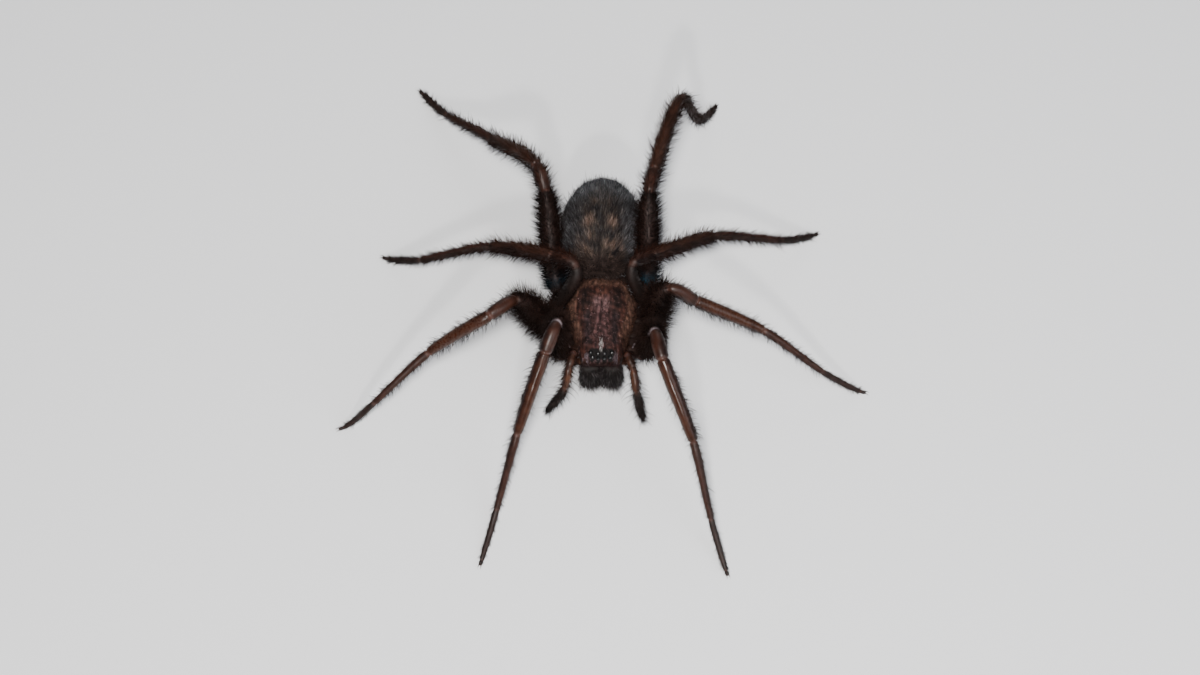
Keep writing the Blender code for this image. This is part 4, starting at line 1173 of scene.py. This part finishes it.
def make_chelicera(side_name):
    """A stout chelicera with its hair, and the fang folded across its end."""
    side = SIDES[side_name]
    height, y, half, depth = smooth_stations(CHELICERA, 60)[..., None]
    ahead, wide = ring(44, CHELICERA_SQUARENESS)
    points = grid(side * (CHELICERA_MIDDLE + half * 0.95 * wide), y - depth * 0.95 * ahead, height)
    points = points + 0.015 * mottle(points, 0.5, SEED + 70)[..., None]
    colour = mix(CHELICERA_BLACK, CHELICERA_RED, below(height, 2.0, 0.9))
    skin = mottled_skin(points, colour, 0.25, 0.3, SEED + 71)
    name = f"chelicera_{side_name}"
    skin_piece(f"{name}_skin", [skin], "dark shell", [name])
    rng = np.random.default_rng(SEED + 6 + side)
    out, rise = np.abs(points[..., 0]), points[..., 2]
    front = 0.35 + 0.65 * step_up(ahead, -0.4, 0.2)[None, :] * np.ones_like(out)
    outer = 1 - 0.5 * step_up(out, 1.2, 1.6)
    covers = {
        "front": (front, outer),
        "lower": (front * (1.0 + below(rise, 2.2, 0.6)), outer),
        "inner": (below(out, 0.35, 0.2) * front, 1.0),
        "end": (below(rise, 1.95, 0.40), 1.0),
    }
    layers = []
    for part, density, length, lift, colour, radius, swirl, uneven in CHELICERA_COATS:
        cover, longer = covers[part]
        layers.append((FUZZ_SHAPE, cover * density, length * longer, lift, colour, radius, swirl, uneven))
    coat_piece(f"{name}_coat", coats(skin, rng, *layers), "body hair")
    fang = smooth_tube(mirrored(FANG_POINTS, side), FANG_RADII, 30, 20, FANG_RED)
    skin_piece(f"fang_{side_name}_horn", [fang], "horn", [f"fang_{side_name}"])


def make_mouthparts():
    """The maxillae with their pale fringe of hair, and the sternum with the lip in front of it."""
    rng = np.random.default_rng(SEED + 8)
    for side_name, side in SIDES.items():
        radii = np.array(MAXILLA_RADII) * 0.96
        skin = smooth_tube(mirrored(MAXILLA_POINTS, side), radii, 34, 28, MAXILLA_BROWN)
        name = f"maxilla_{side_name}"
        skin_piece(f"{name}_skin", [skin], "dark shell", [name])
        inner = below(np.abs(skin.points[..., 0]), 1.15, 0.3)
        fringe = (HAIR_SHAPE, inner * 90, 0.30, (50, 30), OLIVE_BROWN, 0.011, 0.3, 0.25, -skin.along)
        coat_piece(f"{name}_coat", coats(skin, rng, fringe), "body hair")
    y, half, height = smooth_stations(STERNUM, 70)[..., None]
    rise, wide = ring(60)
    points = grid(half * wide, y, STERNUM_HEIGHT + height * rise)
    points[..., 2] = points[..., 2] + 0.10 * hill(y, -1.62, 0.07) * np.maximum(-rise, 0.0)
    edge = step_up(np.abs(points[..., 0]) / half, 0.62, 0.98)
    skin = mottled_skin(points, mix(STERNUM_BROWN, STERNUM_EDGE, edge), 0.2, 0.4, SEED + 80)
    skin_piece("sternum_skin", [skin], "dark shell", ["sternum"])
    under = (skin.normal[..., 2] < -0.1) * 1.0
    short = (HAIR_SHAPE, under * 34, 0.34, (46, 24), np.array(BLACK_BROWN) * 1.6, 0.0115)
    coat_piece("sternum_coat", coats(skin, rng, short), "body hair")
    pedicel = smooth_tube(PEDICEL_POINTS, [PEDICEL_RADIUS * 0.95] * 4, 40, 28, PEDICEL_BROWN)
    skin_piece("pedicel_skin", [pedicel], "soft skin", ["pedicel"])


def make_pleura():
    """The soft side walls between the head shield and the roots of the legs, with their folds."""
    y, half, _, _, under = smooth_stations(CARAPACE[1:-2], 60)[..., None]
    rise, wide = ring(60, 0.6)
    top, bottom = under + 0.02, PLEURA_BOTTOM
    height = (top + bottom) / 2 + (top - bottom) / 2 * rise
    narrow = 0.86 - 0.34 * step_up(top - height, 0.1, 1.1)
    points = grid(half * narrow * wide, np.where(y > 0, 1.10, 0.93) * y, height)
    skins = [mottled_skin(points, np.array(PLEURA_BROWN), 0.3, 0.3, SEED + 85, 0.0)]
    for side in SIDES.values():
        for line in FOLDS:
            fold = smooth_tube(mirrored(line, side), FOLD_RADII, 16, 16, FOLD_BROWN)
            fold.gloss = fold.gloss * 0.0
            skins.append(fold)
        # A painted highlight: the pale lilac rim on each first coxa
        skins.append(smooth_tube(mirrored(HIGHLIGHT_RIM, side), HIGHLIGHT_RIM_RADII, 20, 12, LILAC))
    skin_piece("pleura_skin", skins, "soft skin")


def surface(name, smooth, rough, bump, shine):
    """A material in the piece's own colours and gloss, broken up by noise, with fine bumps."""
    material = bpy.data.materials.new(name)
    material.use_nodes = True
    tree = material.node_tree
    nodes = {"shader": tree.nodes["Principled BSDF"]}
    for label, kind, settings in (
        ("tint", "Attribute", {}),
        ("place", "TexCoord", {}),
        ("fine", "TexNoise", {"Scale": 6000, "Detail": 3.0}),
        ("coarse", "TexNoise", {"Scale": 1800, "Detail": 2.0}),
        ("shade", "MapRange", {"To Min": 0.72, "To Max": 1.30}),
        ("gloss", "MapRange", {"To Min": smooth, "To Max": rough}),
        ("matt", "MapRange", {"To Min": 0.34, "To Max": 0.0}),
        ("dull", "Math", {}),
        ("blend", "VectorMath", {}),
        ("relief", "Bump", {"Strength": bump, "Distance": 0.00003}),
    ):
        nodes[label] = tree.nodes.new("ShaderNode" + kind)
        for socket, value in settings.items():
            nodes[label].inputs[socket].default_value = value
    nodes["tint"].attribute_name = "Tint"
    nodes["dull"].operation = "ADD"
    nodes["blend"].operation = "SCALE"
    nodes["shader"].inputs["Specular IOR Level"].default_value = shine
    for start, output, end, socket in WIRES:
        tree.links.new(nodes[start].outputs[output], nodes[end].inputs[socket])
    return material


def make_camera():
    """The photograph's view: level with the spider's left and right, and steeply from in front."""
    cos, sin = math.cos(VIEW_ELEVATION), math.sin(VIEW_ELEVATION)
    right, up, ahead = Vector((1, 0, 0)), Vector((0, sin, cos)), Vector((0, cos, -sin))
    distance = MM_PER_PIXEL * LENS * IMAGE_SIZE[0] / SENSOR
    over, down = (np.array(IMAGE_SIZE) / 2 - ANCHOR_PIXEL) * MM_PER_PIXEL
    middle = Vector(ANCHOR) + right * over - up * down
    camera = bpy.data.objects.new("camera", bpy.data.cameras.new("camera"))
    camera.data.lens = LENS
    camera.data.sensor_width = SENSOR
    camera.data.clip_start = 0.005
    camera.matrix_world = Matrix((right, up, -ahead)).transposed().to_4x4()
    camera.location = (middle - ahead * distance) * MM + Vector(OFFSET)
    bpy.context.scene.collection.objects.link(camera)
    bpy.context.scene.camera = camera


def add_light(name, place, size, power, shine, colour):
    """A square soft light at a place in mm that points at the spider's middle."""
    light = bpy.data.objects.new(name, bpy.data.lights.new(name, "AREA"))
    light.data.size = size * MM
    light.data.energy = power
    light.data.color = colour
    light.data.specular_factor = shine
    light.location = Vector(place) * MM
    light.rotation_euler = (Vector(LIGHTS_AIM) * MM - light.location).to_track_quat("-Z", "Y").to_euler()
    bpy.context.scene.collection.objects.link(light)


def make_studio():
    """A pale floor, the lights and a dim, pale surround."""
    mesh = bpy.data.meshes.new("floor")
    corners = [(x * FLOOR_HALF, y * FLOOR_HALF, 0) for x, y in ((-1, -1), (1, -1), (1, 1), (-1, 1))]
    mesh.from_pydata(corners, [], [(0, 1, 2, 3)])
    floor = bpy.data.objects.new("floor", mesh)
    floor.location.z = -FLOOR_DROP
    material = bpy.data.materials.new("floor")
    material.use_nodes = True
    shader = material.node_tree.nodes["Principled BSDF"]
    shader.inputs["Base Color"].default_value = FLOOR_COLOUR
    shader.inputs["Roughness"].default_value = 0.85
    mesh.materials.append(material)
    bpy.context.scene.collection.objects.link(floor)
    for name, light in LIGHTS.items():
        add_light(name, *light)
    world = bpy.data.worlds.new("surround")
    world.use_nodes = True
    background = world.node_tree.nodes["Background"]
    background.inputs["Color"].default_value = SURROUND
    background.inputs["Strength"].default_value = SURROUND_STRENGTH
    bpy.context.scene.world = world


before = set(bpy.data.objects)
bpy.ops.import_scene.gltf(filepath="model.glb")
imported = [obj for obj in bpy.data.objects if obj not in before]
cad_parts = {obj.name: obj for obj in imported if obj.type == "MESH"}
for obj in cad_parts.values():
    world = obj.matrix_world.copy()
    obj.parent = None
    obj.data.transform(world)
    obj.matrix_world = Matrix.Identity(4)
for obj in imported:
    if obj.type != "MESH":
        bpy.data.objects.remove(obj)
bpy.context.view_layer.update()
OFFSET = frame_offset()
MATERIALS = {name: surface(name, *values) for name, values in SURFACES.items()}
EYES = eye_places()
SHIELD = carapace_skin()
skin_piece("carapace_skin", [SHIELD], "head shell", ["carapace"])
coat_piece("carapace_coat", carapace_hair(SHIELD), "body hair")
for eye, (eye_middle, eye_radius) in EYES.items():
    make_eye(eye, eye_middle, eye_radius, SHIELD)
make_spinnerets(make_abdomen().points[-1])
make_mouthparts()
make_pleura()
for side_word in SIDES:
    make_chelicera(side_word)
    make_palp(side_word)
for pair_number, side_word in POSE:
    make_leg(pair_number, side_word)
make_studio()
make_camera()
